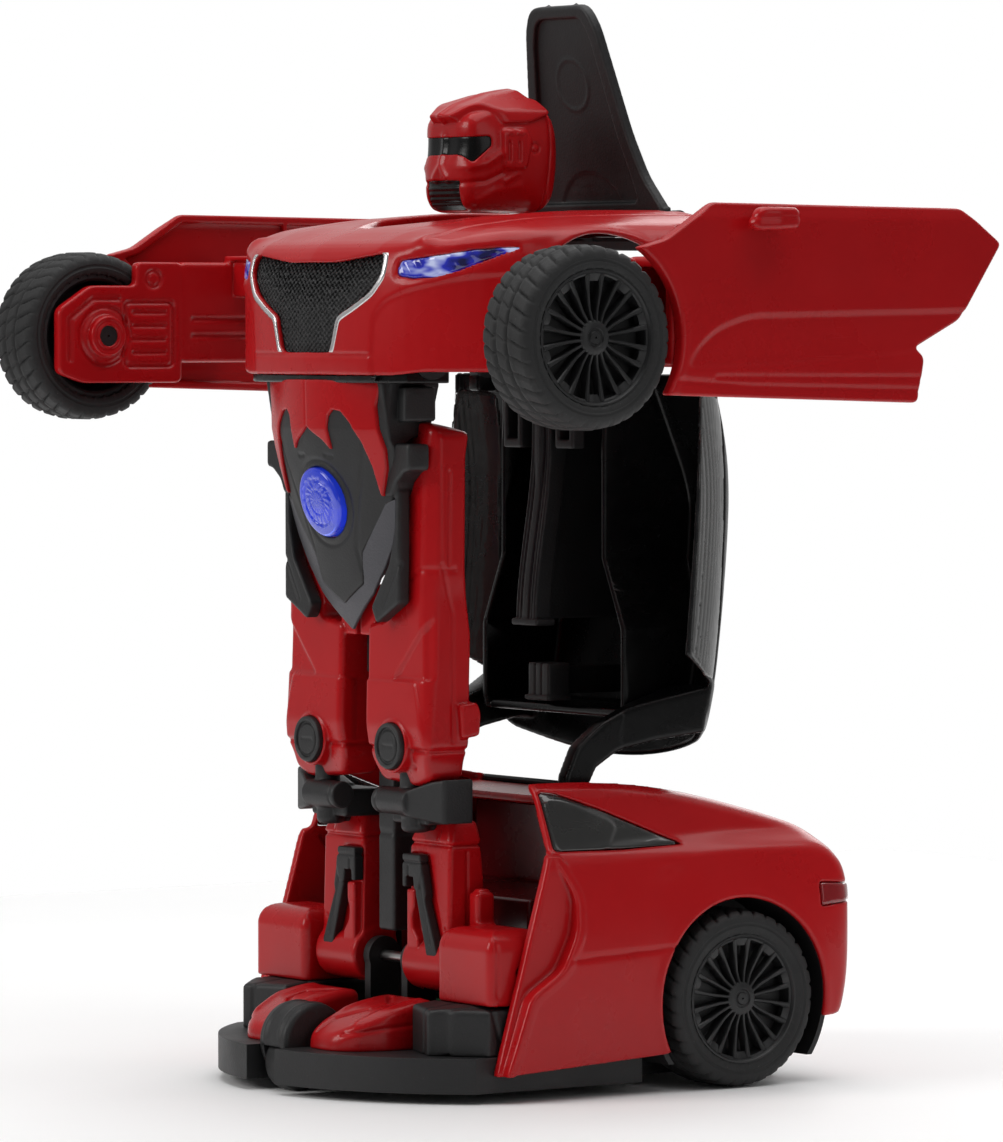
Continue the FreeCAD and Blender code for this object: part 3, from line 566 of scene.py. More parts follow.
def formed(name, space, field, share, slot, cad_node, replaces=True):
    """A piece made from a field."""
    return piece(name, solid(name, space, field, share), slot, cad_node, replaces)


def formed_pair(name, space, field, share, slot, cad_node):
    """A left piece made from a field and its mirror image, each for its own CAD node."""
    twins(name, solid(name + "_left", space, field, share), slot, cad_node)


def formed_twice(name, space, field, share, slot, cad_node):
    """A left piece made from a field and its mirror image, which together stand for one CAD node."""
    left = solid(name + "_left", space, field, share)
    piece(name + "_left", left, slot, cad_node)
    piece(name + "_right", flipped(left, name + "_right"), slot, cad_node, replaces=False)


# ------------------------------------------------------------------------- turned pieces
def ring(profile, count, shift=None):
    """Points and quads of a closed profile of (along, radius) turned about an axis along X."""
    profile = np.array(profile, float)
    turn = np.arange(count) / count * 2 * math.pi
    along = np.repeat(profile[None, :, 0], count, 0)
    radius = np.repeat(profile[None, :, 1], count, 0)
    angle = np.repeat(turn[:, None], len(profile), 1)
    if shift is not None:
        radius = radius + shift(along, angle)
    points = np.stack([along, radius * np.sin(angle), radius * np.cos(angle)], 2).reshape(-1, 3)
    quads = []
    n = len(profile)
    for i in range(count):
        for j in range(n):
            a, b = i * n + j, i * n + (j + 1) % n
            c, d = (i + 1) % count * n + (j + 1) % n, (i + 1) % count * n + j
            quads.append((a, d, c, b))
    return points, quads


def merged(name, parts, centre, sharp=30.0):
    """One mesh from (points, faces) groups placed about a centre, shaded smooth below the sharp angle."""
    points, faces = [], []
    for group, group_faces in parts:
        base = len(points)
        points.extend((np.asarray(group, float) + centre).tolist())
        faces.extend([tuple(base + i for i in face) for face in group_faces])
    mesh = as_mesh(name, frame_points(points).tolist(), faces)
    mesh.shade_smooth()
    mesh.set_sharp_from_angle(angle=math.radians(sharp))
    return mesh


TREAD_BLOCKS = 34


def tread(along, angle):
    """Depth of the tyre's grooves: two channels round it, and slanted cuts from its shoulders."""
    channel = np.maximum(np.exp(-((np.abs(along) - 2.6) / 0.55) ** 2), 0)
    slant = angle * TREAD_BLOCKS / (2 * math.pi) + np.sign(along) * (np.abs(along) - 2.6) * 0.10
    cut_line = np.exp(-(((slant % 1) - 0.5) / 0.09) ** 2) * (np.abs(along) > 3.2) * (np.abs(along) < 10.0)
    middle = np.exp(-((((angle * TREAD_BLOCKS / (2 * math.pi) + along * 0.12) % 1) - 0.5) / 0.08) ** 2)
    middle = middle * (np.abs(along) < 2.0) * 0.7
    top = smooth(10.3, 9.2, np.abs(along))
    return -0.9 * np.maximum(channel, np.maximum(cut_line, middle)) * top


def tyre_mesh(name, axle, radius, face):
    half = WHEEL_WIDTH / 2
    tread_line = [(a, radius - 0.05 - 0.008 * a * a * (abs(a) > 5)) for a in np.linspace(-8.6, 8.6, 40)]
    shoulder = [(half - 0.75, radius - 1.5), (half - 0.2, radius - 2.6), (half - 0.05, radius - 3.6),
                (half - 0.3, radius - 4.0), (half - 0.3, radius - 4.4), (half - 0.02, radius - 4.8),
                (half - 0.1, radius - 5.6), (half - 0.5, radius - 6.2), (half - 0.7, RIM_R + 0.1),
                (half - 1.6, RIM_R - 0.02)]
    profile = tread_line + shoulder + [(-a, r) for a, r in reversed(shoulder)]
    return merged(name, [ring(profile, TREAD_BLOCKS * 10, tread)], (face - half, *axle), 40)


def bar(start, end, widths, depths, lift, steps=6, twist=0.0):
    """A spoke from radius start to end: its width, its depth and its height over the rim's face vary."""
    points, faces = [], []
    for i in range(steps + 1):
        t = i / steps
        r = start + (end - start) * t
        w = np.interp(t, *widths) / 2
        x = np.interp(t, *lift)
        d = np.interp(t, *depths)
        side = twist * t * (1 - t)
        points += [(x, side - w * 0.55, r), (x, side + w * 0.55, r), (x - 0.35, side + w, r),
                   (x - d, side + w, r), (x - d, side - w, r), (x - 0.35, side - w, r)]
        if i:
            base = 6 * (i - 1)
            for k in range(6):
                faces.append((base + k, base + (k + 1) % 6, base + 6 + (k + 1) % 6, base + 6 + k))
    faces += [(5, 4, 3, 2, 1, 0), tuple(6 * steps + k for k in range(6))]
    return np.array(points), faces


def turned_about_x(points, angle):
    c, s = math.cos(angle), math.sin(angle)
    x, y, z = np.array(points).T
    return np.stack([x, y * c + z * s, z * c - y * s], 1)


def rim_mesh(name, axle, face, axle_end):
    """Barrel with a stepped lip, ten pairs of spokes, a bored hub and the axle."""
    barrel = [(-0.5, RIM_R - 0.02), (-0.45, RIM_R - 0.5), (-1.0, RIM_R - 1.0), (-1.3, RIM_R - 1.1),
              (-1.6, RIM_R - 1.6), (-3.2, RIM_R - 1.9), (-19.0, RIM_R - 2.0), (-19.4, RIM_R - 1.2),
              (-19.2, RIM_R - 0.02)]
    back = [(-5.6, 0.5), (-5.6, RIM_R - 1.7), (-6.6, RIM_R - 1.7), (-6.6, 0.5)]
    hub = [(-1.0, 0.3), (-1.05, 1.6), (-1.5, 1.9), (-1.5, 2.4), (-1.1, 2.7), (-1.2, 4.0), (-1.7, 4.7),
           (-6.0, 5.0), (-6.0, 0.3)]
    reach = face - 2.2 - axle_end
    shaft = [(-2.2, 0.3), (-2.2, 2.6), (-2.6, 3.0), (-2.2 - reach, 3.0), (-2.2 - reach, 0.3)]
    parts = [ring(barrel, 96), ring(back, 96), ring(hub, 48), ring(shaft, 32)]
    for i in range(10):
        for side in (-1, 1):
            spoke, faces = bar(4.0, RIM_R - 1.3, ((0, 0.7, 1), (0.9, 1.1, 1.7)), ((0, 1), (3.6, 2.6)),
                               ((0, 0.25, 0.85, 1), (-1.3, -2.1, -1.5, -1.2)), 7, side)
            parts.append((turned_about_x(spoke, math.radians(36 * i + side * 8.0)), faces))
        arc, faces = bar(RIM_R - 3.2, RIM_R - 1.2, ((0, 1), (2.6, 5.2)), ((0, 1), (2.2, 2.2)),
                         ((0, 1), (-1.7, -1.25)), 2)
        parts.append((turned_about_x(arc, math.radians(36 * i)), faces))
    return merged(name, parts, (face, *axle), 35)


def wheels(kind, axle, radius, face, axle_end):
    tyre = tyre_mesh(kind + "_tread", axle, radius, face)
    twins(kind + "_tread", tyre, "tyre_rubber", kind + "_tyre")
    twins(kind + "_spokes", rim_mesh(kind + "_spokes", axle, face, axle_end), "rim_black", kind + "_rim")


wheels("rear", axle_end=20.0, **REAR_WHEEL)
wheels("front", axle_end=112.5, **FRONT_WHEEL)


# ------------------------------------------------------------------------- rear body
REAR_SIDE = [(-20, -30), (112, -30), (134, 12), (144, 18), (149.4, 34), (149.8, 54), (147.6, 62),
             (142.5, 68.4), (136, 70.5), (109, 70.8), (43, 68.6), (-20, 67)]
REAR_PLAN = both_sides([(70, 0), (70, 132), (69, 143), (65, 148.6), (48, 149.8)])
CABIN_SIDE = [(20, 50), (20, 89.5), (45, 89.8), (62, 89.7), (80, 87.8), (97, 84.4), (112, 80.8), (127, 76.6),
              (139, 72.6), (145, 64), (145, 50)]
CABIN_FRONT = both_sides([(66, 50), (63, 68), (52.5, 90)])
SILL_LINE = [(0, 8), (26, 8), (79, 11), (112, 15), (136, 19), (160, 20)]
PILLAR_EDGE = [(26, -40), (26, 8), (43.5, 68), (45.2, 70), (45.6, 89), (48, 100), (170, 100), (170, -40)]
DOOR_TIP = [(10, -5), (24, -5), (26.6, 8), (34, 30), (45, 37), (50, 47), (50.5, 57), (44.5, 67.8),
            (43.5, 74), (10, 74)]
PILLAR_FLANGE = [(26, 8), (52, 9), (55, 58), (47, 68.4), (43.5, 68.6)]
QUARTER_WINDOW = [(46.6, 69.6), (46.6, 86), (52, 85.4), (66, 80.6), (92, 69.9), (70, 69.2)]
QUARTER_PANE = [(46.9, 68.6), (46.9, 85.2), (56, 83.4), (69, 77.6), (70.4, 75.6), (66.5, 70.6), (61, 69)]
REAR_GLASS = [(97, 74), (97, 92), (136, 92), (136, 62)]


def rear_form(s):
    """The closed form of the rear body, before its wall and openings."""
    tuck = 0.0062 * np.maximum(s.z - 36, 0) ** 2 + 0.0030 * np.maximum(32 - s.z, 0) ** 2
    haunch = 0.9 * np.exp(-((s.y - 108) / 26) ** 2) * smooth(58, 70, s.z)
    flank = s.ax - (70.0 - tuck + haunch)
    side = outline(s.y, s.z, REAR_SIDE, 7)
    plan = outline(s.x, s.y, REAR_PLAN, 5)
    lower = meet(meet(side, flank, 4.5), plan, 3)
    narrow = 1 + 0.0008 * np.maximum(s.y - 60, 0)
    cabin = meet(outline(s.y, s.z, CABIN_SIDE, 9), outline(s.x * narrow, s.z, CABIN_FRONT, 7), 3.5)
    return join(lower, cabin, 3.5)


def rear_body():
    s = Space((0, 71), (20, 151), (7, 91), 0.66, half=True)
    form = rear_form(s)
    outer = form + dent(line(s.y, s.z, [(47, 39.6), (83.5, 41.5)]), 0.55, 0.75) * (s.ax > 60)
    outer = outer + dent(np.hypot((s.y - 84) / 1.9, s.z - 62.5 - 0.2 * (s.y - 84)), 2.2, 0.7) * (s.ax > 55)
    arch = disc(s.y, s.z, REAR_AXLE, 28.8)
    outer = outer - 0.45 * np.exp(-((arch - 1.0) / 1.4) ** 2) * (s.ax > 62)
    boot = outline(s.x, s.z, [(-46, 38), (-50, 58), (50, 58), (46, 38)], 5)
    outer = outer + dent(np.abs(boot), 0.5, 0.6) * (s.y > 135)
    plate = outline(s.x, s.z, [(-21, 40), (-22, 51), (22, 51), (21, 40)], 2)
    outer = outer + smooth(0.6, -0.6, plate) * (s.y > 135)
    above_sill = -outline(s.y, s.z, [(-60, -60), *SILL_LINE, (220, 20), (220, -60)])
    shell = meet(outer, outline(s.y, s.z, PILLAR_EDGE), 0.8)
    shell = meet(shell, above_sill, 0.8)
    shell = less(shell, form + WALL)
    shell = less(shell, meet(meet(s.ax - 50, s.y - 70), 69 - s.z), 0.6)
    shell = less(shell, meet(meet(s.ax - 50, slab(s.y, 60, 98), 2), 82 - s.z), 0.6)
    shell = join(shell, meet(meet(s.ax - 50.5, slab(s.y, 70, 97)), slab(s.z, 79.6, 82)), 0.8)
    flange = meet(outline(s.y, s.z, PILLAR_FLANGE), slab(s.ax, 62.2, 64.8))
    tip = outline(s.y, s.z, DOOR_TIP, 3)
    step = meet(meet(tip - 2.2, outline(s.y, s.z, PILLAR_FLANGE)), slab(s.ax, 62.2, 69.5))
    shell = join(join(shell, flange, 0.8), meet(step, form), 1.2)
    shell = less(shell, meet(tip, 64.8 - s.ax), 1.0)
    shell = less(shell, meet(arch, 44 - s.ax), 0.8)
    quarter = outline(s.y, s.z, QUARTER_WINDOW, 1.5)
    glass = meet(outline(s.y, s.z, REAR_GLASS, 2), s.ax - (49.5 - 0.05 * (s.y - 97)), 3)
    lamp = meet(outline(s.y, s.z, [(136, 50.5), (136, 57.5), (152, 56.5), (152, 52)], 1), 42 - s.ax, 1.5)
    diffuser = meet(meet(s.ax - 42, slab(s.z, 8, 33), 3), 128 - s.y)
    openings = ((quarter, 45 - s.ax, 0.5), (glass, 60 - s.z, 0.5), (lamp, 120 - s.y, 0.5),
                (diffuser, 120 - s.y, 0.8))
    for opening, side, edge in openings:
        shell = less(shell, meet(opening, side), edge)
    formed("rear_body", s, shell, 0.55, "red_gloss", "rear_body_shell")
    pane = meet(form + 0.5, -(form + WALL))
    panel = meet(pane - 0.45 * smooth(0.5, -0.8, outline(s.y, s.z, QUARTER_PANE, 5)), quarter + 0.15, 0.4)
    panel = meet(panel, 45 - s.ax)
    formed("quarter_windows", s, panel, 0.4, "charcoal_window", "side_windows")
    heated = meet(meet(form + 0.25, -(form + WALL)), glass + 0.15, 0.4)
    formed("rear_glass", s, meet(heated, 60 - s.z), 0.4, "black_gloss", "rear_window")
    ribs = 0.25 * np.sin(s.x * 2.4)
    glow = meet(meet(form - 0.25 + ribs * 0.6, -(form + WALL)), lamp + 0.15, 0.4)
    formed("tail_lamp_glass", s, meet(glow, 120 - s.y), 0.5, "tail_red", "tail_lamps")
    fins = 2.2 * smooth(0.35, 0.75, np.abs(((s.ax / 9.0) % 1) - 0.5) * 2)
    vent = meet(meet(form + 0.3 + fins, -(form + 4.6)), diffuser + 0.15, 0.5)
    vent = meet(meet(vent, 120 - s.y), above_sill - 1.0)
    formed("rear_vent", s, vent, 0.5, "black_satin", "rear_diffuser")


# ------------------------------------------------------------------------- platform pieces
def front_blocks():
    s = Space((33, 62), (24, 47), (26, 58), 0.5)
    body = meet(meet(slab(s.x, 33.9, 61.1), slab(s.y, 25.4, 46), 2.5), slab(s.z, 20, 48), 6.0)
    body = meet(body, slab(s.z, 27, 60), 0.6)
    body = body + dent(line(s.y, s.z, [(28, 44), (28, 30)]), 0.6, 0.4) * (s.x > 55)
    peg = meet(meet(slab(s.x, 34.5, 39.5), slab(s.y, 36, 42), 1.2), slab(s.z, 44, 57), 1.0)
    tip = meet(meet(slab(s.x, 35.4, 38.6), slab(s.y, 37, 41), 1.0), slab(s.z, 44, 58), 0.6)
    body = join(join(body, peg, 1.5), tip, 0.4)
    body = less(body, disc(s.y, s.z, ANKLE, 1.7), 0.2)
    formed_pair("ankle_block", s, body, 0.4, "red_gloss", "front_block")


def covers():
    s = Space((32, 62), (12, 49), (12, 28), 0.55)
    top = 27 - 0.10 * np.maximum(25 - s.y, 0) - 0.12 * np.maximum(s.x - 52, 0)
    body = meet(outline(s.x, s.y, [(33, 18), (48, 13), (61, 25), (61, 48), (33, 48)]), s.z - top, 1.4)
    body = meet(body, 13 - s.z, 0.4)
    seam = np.minimum(line(s.x, s.y, [(44.5, 14), (44.5, 28)]), line(s.x, s.y, [(50, 14), (57.5, 28)]))
    body = body + dent(seam, 0.6, 0.5) + dent(line(s.y, s.z, [(26, 27), (30, 13)]), 0.6, 0.4)
    formed_twice("corner_cover", s, body, 0.4, "black_satin", "corner_covers")


def feet():
    """Toes with a raised rib, an S-shaped channel and a scalloped inner edge."""
    s = Space((7, 32), (-4, 29), (12, 28), 0.42)
    side = outline(s.y, s.z, [(-3, 10), (-3, 16.5), (3, 20.5), (12, 24.5), (22, 26.6), (28, 26.6),
                              (28, 10)], 3)
    plan = outline(s.x, s.y, [(8, 30), (8, 3), (10, -2.4), (21, -3), (27.5, 2), (31, 12), (31, 30)], 3)
    body = meet(meet(side, plan, 2.4), 13 - s.z, 0.4)
    body = meet(body, s.y - 28, 0.8)
    trail = line(s.x, s.y, [(12, 0), (13, 5), (17, 8.5), (21, 12), (21.5, 18), (17, 21), (13, 24)])
    body = body + dent(trail, 0.8, 0.9) * (s.z > 15)
    body = body - dent(line(s.x, s.y, [(26, 4), (28.3, 13), (27.6, 24)]), 1.3, 0.55) * (s.z > 15)
    body = body - dent(line(s.x, s.y, [(11.5, 10), (12.5, 17)]), 1.5, 0.6) * (s.z > 15)
    body = body + dent(line(s.y, s.z, [(-3, 17.5), (12, 19.5), (28, 20.5)]), 0.5, 0.5) * (s.x > 24)
    formed_pair("toe", s, body, 0.45, "red_gloss", "foot")


def dome():
    s = Space((0, 7.5), (-9, 15), (2, 26), 0.4, half=True)
    body = meet(disc(s.y, s.z, (3, 14), 11), s.ax - 7, 1.6)
    body = meet(meet(body, s.y - 14, 0.4), 3 - s.z, 0.4)
    body = meet(body, -8 - s.y)
    body = body - dent(np.abs(s.ax - 3.6), 0.9, 0.4) * (s.z > 13)
    space = meet(meet(disc(s.y, s.z, (0, ROLLER_R), ROLLER_R + 1), s.ax - 4.6), s.z - 30)
    slot = meet(meet(slab(s.y, -9, 9), s.ax - 4.6), s.z - ROLLER_R)
    body = less(less(body, space, 0.3), slot, 0.3)
    formed("roller_dome", s, body, 0.5, "black_satin", "roller_housing")


rear_body()
front_blocks()
covers()
feet()
dome()


# ------------------------------------------------------------------------- front body
FRONT_SIDE = [(4.5, 180), (3.4, 203), (2.2, 207), (2.1, 222), (4.2, 232.5), (7.5, 239.6), (20, 244.6),
              (45, 248), (75, 250.4), (130, 252.2), (130, 180)]
FRONT_PLAN = both_sides([(68, 130), (68, 52), (64, 33), (54, 17), (38, 7), (14, 2)])
FRONT_SECTION = both_sides([(68, 170), (68, 236), (63, 244.8), (48, 249.5), (30, 252.1)])
SCOOP = [(0, 19), (20, 42), (37.2, 102), (37.4, 110), (-37.4, 110), (-37.2, 102), (-20, 42)]
GRILLE = both_sides([(33.2, 237.4), (33.4, 231.5), (29.6, 226.6), (23.2, 223.2), (15.6, 219.8),
                     (12.4, 209.6)]) + [(12, 235.0), (-12, 235.0)]
LAMP = [(38.4, 231.0), (43, 230.2), (49, 230.6), (54, 232.4), (59, 235.6), (63.5, 239.2), (58, 238.6),
        (52, 237.3), (45, 236.1), (38.6, 235.3)]
FLANK = [(30, 200), (30, 208.7), (31, 219.5), (34.5, 223.8), (40.5, 226.5), (53.5, 230.3), (66, 232),
         (75, 232), (75, 200)]
DOOR_SIDE = [(16, 237), (30, 240.5), (46, 250.6), (131.5, 249.7), (145, 240), (130.6, 218.7),
             (115, 211), (118, 208.5), (116, 195.8), (25.7, 198.6)]
WHEEL_CLOSED = (FRONT_AXLE[0] + ARM_BACK, FRONT_AXLE[1])


def front_form(s):
    swept = np.interp(s.ax, [0, 30, 38, 44, 54, 60, 64, 70], [0, 1.2, 3.0, 4.8, 9.5, 14.5, 19, 27])
    side = outline(s.y - swept, s.z, FRONT_SIDE, 6)
    plan = outline(s.x, s.y, FRONT_PLAN, 12)
    section = outline(s.x, s.z, FRONT_SECTION, 9)
    return meet(meet(side, plan, 3.5), section, 3)


def front_body():
    s = Space((0, 69), (1, 106), (200, 253), 0.6, half=True)
    form = front_form(s)
    scoop = meet(outline(s.x, s.y, SCOOP, 3), 244.8 - s.z, 0.8)
    carved = less(form, scoop, 1.2)
    arch = disc(s.y, s.z, WHEEL_CLOSED, 29)
    outer = carved - 0.5 * np.exp(-((arch - 1.2) / 1.5) ** 2) * (s.ax > 58)
    crease = line(s.ax, s.y, [(27, 9), (34, 45), (47, 100)])
    outer = outer + dent(crease, 1.6, 0.35) * smooth(243, 246, s.z)
    deck_corner = np.hypot(s.ax - 44, s.y - 15) / 3.6
    outer = outer - 1.3 * np.exp(-deck_corner ** 2) * smooth(237, 239, s.z)
    seam = line(s.ax, s.y, [(44.5, 15), (45, 20), (47, 44), (50, 102)])
    outer = outer + dent(seam, 0.45, 0.7) * smooth(236, 238, s.z)
    grille = outline(s.x, s.z, GRILLE, 2)
    lamp = outline(s.ax, s.z, LAMP, 1.2)
    outer = outer + dent(lamp - 0.6, 0.5, 0.45) * (s.y < 34)
    flank = outline(s.ax, s.z, FLANK, 3)
    outer = outer + 0.7 * smooth(1.0, -1.0, flank) * smooth(37, 30, s.y)
    outer = outer + dent(np.abs(s.z - 209.0), 0.5, 0.8) * (s.y < 10) * smooth(31, 28, s.ax)
    shell = meet(outer, 203.2 + smooth(8, 14, s.y) - s.z, 0.8)
    shell = less(shell, carved + WALL)
    shell = meet(shell, s.y - 104.6, 0.8)
    head_hole = meet(slab(s.x, -16.6, 16.6), slab(s.y, 46.8, 95), 2)
    tail_cut = meet(meet(s.ax - 41, 100.4 - s.y), 240 - s.z)
    door = outline(s.y - ARM_BACK, s.z, DOOR_SIDE, 1) - 0.8
    door = meet(less(door, disc(s.y, s.z, WHEEL_CLOSED, 27.2)), 60 - s.ax)
    slots = meet(meet(slab(s.ax, 17, 28), 69 - s.y), s.z - 243)
    rear_skirt = np.maximum(meet(89.5 - s.y, s.z - 240), 0)
    for opening, edge in ((meet(arch, 44 - s.ax), 0.8), (meet(head_hole, 230 - s.z), 0.8), (tail_cut, 0.6),
                          (door, 0.5), (slots, 0), (rear_skirt, 0.4), (meet(grille, s.y - 20), 0.5),
                          (meet(lamp, s.y - 36), 0.4)):
        shell = less(shell, opening, edge)
    formed("front_body", s, shell, 0.75, "red_gloss", "front_body_shell")
    wave = 0.25 * np.sin(s.ax * 1.4 + s.z * 0.9)
    lamps = meet(meet(carved + 0.55 + wave, -(carved + WALL)), lamp + 0.12, 0.3)
    formed("lamp_glass", s, meet(lamps, s.y - 36), 0.8, "headlight_blue", "headlights")
    fine = Space((0, 37), (1, 18), (202, 240), 0.36, half=True)
    form = front_form(fine)
    grille = outline(fine.x, fine.z, GRILLE, 2)
    band = meet(meet(slab(grille, 0.3, 1.9), form - 0.4, 0.35), -(form + 1.4))
    band = meet(meet(band, 209.6 - fine.z, 0.3), fine.z - 237.6, 0.3)
    band = less(band, meet(fine.ax - 30.5, 233 - fine.z))
    formed("grille_line", fine, meet(band, fine.y - 14), 0.5, "trim_silver", "grille_trim")
    pitch = 2.1
    weave_a = np.abs(((fine.x + 1.25 * fine.z) / pitch % 1) - 0.5) * pitch
    weave_b = np.abs(((fine.x - 1.25 * fine.z) / pitch % 1) - 0.5) * pitch
    hole = 0.28 - np.minimum(weave_a, weave_b)
    plate = meet(meet(form + 1.9, -(form + 3.6)), grille - 1.2)
    plate = less(plate, meet(hole, -(form + 2.9)), 0.1)
    formed("grille_mesh", fine, meet(plate, fine.y - 14), 0.45, "black_satin",
           "front_grille")
    low = Space((0, 60), (2, 31), (200, 206.5), 0.5, half=True)
    form = front_form(low)
    lip = meet(meet(form + 0.5 * smooth(203.6, 202.0, low.z), -(form + WALL)), slab(low.z, 201, 203.1), 0.6)
    lip = meet(lip, low.y - 7)
    chin = meet(meet(slab(low.z, 201.0, 204.8), form + 2.6, 0.5), meet(low.y - 26, low.ax - 40))
    formed("chin_lip", low, meet(join(lip, chin), low.y - 30), 0.5, "black_gloss",
           "front_lip")


# ------------------------------------------------------------------------- doors, mirrors and wheel stays
SWOOSH = [(37.2, 206), (40.4, 211.2), (47, 216.5), (58, 219.9), (134, 221.4), (134, 216), (114.2, 210.0),
          (69, 206.9)]


def doors():
    s = Space((134.6, 140), (15, 146), (195, 252), 0.55)
    edge = outline(s.y, s.z, DOOR_SIDE, 1.6)
    edge = less(edge, disc(s.y, s.z, FRONT_AXLE, 28), 0.8)
    lean = 1.3 * smooth(245.5, 250.5, s.z) + 0.5 * smooth(206, 199, s.z)
    swoosh = outline(s.y, s.z, SWOOSH, 4)
    lean = lean + 0.75 * smooth(1.2, -1.2, swoosh)
    lean = lean + dent(line(s.y, s.z, [(31.7, 202.5), (60, 200.6), (116, 199.3)]), 0.8, 0.35)
    lean = lean + dent(line(s.y, s.z, [(47, 203.3), (116, 202.8)]), 0.7, 0.3)
    lean = lean - 0.25 * np.exp(-((disc(s.y, s.z, FRONT_AXLE, 28) - 1.5) / 1.2) ** 2)
    face = s.x - (138.7 - lean)
    slab_body = meet(meet(edge, face, 0.7), 135 - s.x, 0.4)
    pocket = meet(edge + 2.4, s.x - (136.9 - 0.5 * lean))
    ribs = np.minimum(np.abs(s.y - 84), np.abs(s.y - 108)) - 0.8
    ribs = np.minimum(ribs, np.abs(s.z - 226) - 0.7)
    clips = np.minimum(disc(s.y, s.z, (96, 240), 3), disc(s.y, s.z, (96, 208), 3))
    slab_body = less(slab_body, less(less(pocket, ribs), clips), 0.3)
    formed_pair("door_skin", s, slab_body, 0.33, "red_gloss", "door")


def mirrors():
    s = Space((138, 148), (52, 73), (241, 250.5), 0.38)
    stalk = meet(meet(slab(s.x, 138.2, 143), slab(s.y, 59, 66), 1), slab(s.z, 243.2, 246.2), 1)
    cup = outline(s.y, s.z, [(53.5, 244.5), (56, 243), (69, 243.6), (70.5, 246), (68.5, 249.2),
                             (57, 249.4)], 2)
    plan = outline(s.x, s.y, [(140.8, 58), (140.8, 69), (143, 70.6), (147, 69), (147.4, 62), (145, 55),
                              (142, 53.6)], 2)
    shape = join(meet(cup, plan, 1.4), stalk, 0.8)
    glass = meet(meet(outline(s.x, s.z, [(141.8, 244.6), (141.8, 248.2), (146.2, 248.2), (146.4, 244.6)], 1),
                      70.0 - s.y), s.y - 75)
    shape = shape + dent(np.abs(s.z - 246.6), 0.35, 0.25) * (s.x > 141)
    shape = less(shape, glass, 0.2)
    formed_pair("mirror_cup", s, shape, 0.45, "red_gloss", "door_mirror")


def stays():
    """Upright behind each front wheel: ribbed like an engine block, with a bored boss on the axle."""
    s = Space((97, 136), (-10, 67), (199, 238.5), 0.55)
    side = outline(s.y, s.z, [(-9, 203), (-9, 222), (2, 229), (18, 229), (18, 236), (34, 236), (34, 200),
                              (0, 200)], 2)
    plate = meet(side, slab(s.x, 114.5, 118), 0.8)
    relief = dent(np.abs(outline(s.y, s.z, [(14, 205), (14, 224), (31, 224), (31, 205)], 2)), 0.7, 0.8)
    relief = relief + dent(line(s.y, s.z, [(-5, 207), (-5, 219), (3, 225), (12, 225)]), 0.8, 0.8)
    for height in (209, 213, 217, 221):
        relief = relief + dent(line(s.y, s.z, [(17, height), (28, height)]), 0.7, 0.7)
    relief = relief + dent(disc(s.y, s.z, (24, 231), 2.4), 0.6, 0.7)
    relief = relief + dent(np.abs(disc(s.y, s.z, FRONT_AXLE, 8.5)), 0.7, 0.7)
    plate = plate + relief * (s.x < 116)
    boss = meet(disc(s.y, s.z, FRONT_AXLE, 6), slab(s.x, 112, 118), 0.8)
    boss = boss + dent(np.abs(disc(s.y, s.z, FRONT_AXLE, 4.4)), 0.4, 0.5)
    stay = meet(meet(slab(s.x, 114.5, 135), slab(s.y, 34, 62), 0.8), slab(s.z, 206, 236), 1.5)
    pocket = meet(meet(slab(s.x, 118.5, 132), slab(s.y, 29, 59), 1), slab(s.z, 209, 233), 2)
    stay = stay + dent(line(s.y, s.z, [(38, 214), (58, 214)]), 0.8, 0.8) * (s.x < 116)
    stay = stay + dent(line(s.y, s.z, [(38, 219), (58, 219)]), 0.8, 0.8) * (s.x < 116)
    stay = stay + dent(line(s.x, s.z, [(119, 215), (131, 215)]), 0.7, 0.6) * (s.y > 60)
    block_part = block(s, (107.5, 114.8), (52, 66), (225.8, 236.2), 0.8)
    ears = join(block(s, (98, 118), (51, 65), (236.6, 237.9), 0.3),
                block(s, (114.5, 118), (51, 65), (230, 237.9), 0.3))
    body = join(join(join(plate, less(stay, pocket, 0.5), 1.0), boss, 1.0), join(block_part, ears, 0.3), 0.5)
    end = (LINK_PIVOT[0] + LINK_RADIUS * math.cos(LINK_REST),
           LINK_PIVOT[1] + LINK_RADIUS * math.sin(LINK_REST))
    body = less(body, meet(disc(s.x, s.y, end, 5), slab(s.z, 225, 236.4)))
    body = join(body, meet(disc(s.x, s.y, end, 2.5), slab(s.z, 226, 237.9), 0.3), 0.2)
    body = less(body, disc(s.y, s.z, FRONT_AXLE, 3.05), 0.2)
    formed_pair("wheel_stay", s, body, 0.35, "red_gloss", "wheel_bracket")


# ------------------------------------------------------------------------- head
HEAD_SIDE = [(53.5, 248.6), (50.4, 254), (49.6, 262), (51.4, 268), (51.0, 276), (62, 282), (74, 283),
             (80, 279.5), (85, 272), (85.6, 264), (83, 255), (79, 248.6)]
HEAD_FRONT = both_sides([(8.5, 248.6), (12.5, 253), (15, 262), (15, 272), (11, 280), (5, 283.5)])
HEAD_PLAN = both_sides([(5, 47), (11.5, 52), (15.5, 62), (15.2, 76), (9, 86)])
CREST_SIDE = [(49, 277.2), (54, 280.2), (64, 283.6), (74, 285.4), (75.8, 282.6), (77.8, 282.4), (79.4, 278),
              (72, 275.5), (58, 274.6), (51.5, 275.2)]
CREST_FRONT = both_sides([(15.2, 272), (13, 279), (3.2, 285.6)])
VISOR = [(46, 265.2), (46, 270.8), (54, 271.2), (58.5, 271.4), (58.8, 268.6), (56.5, 266.6), (53.2, 263.6),
         (51, 266.4)]


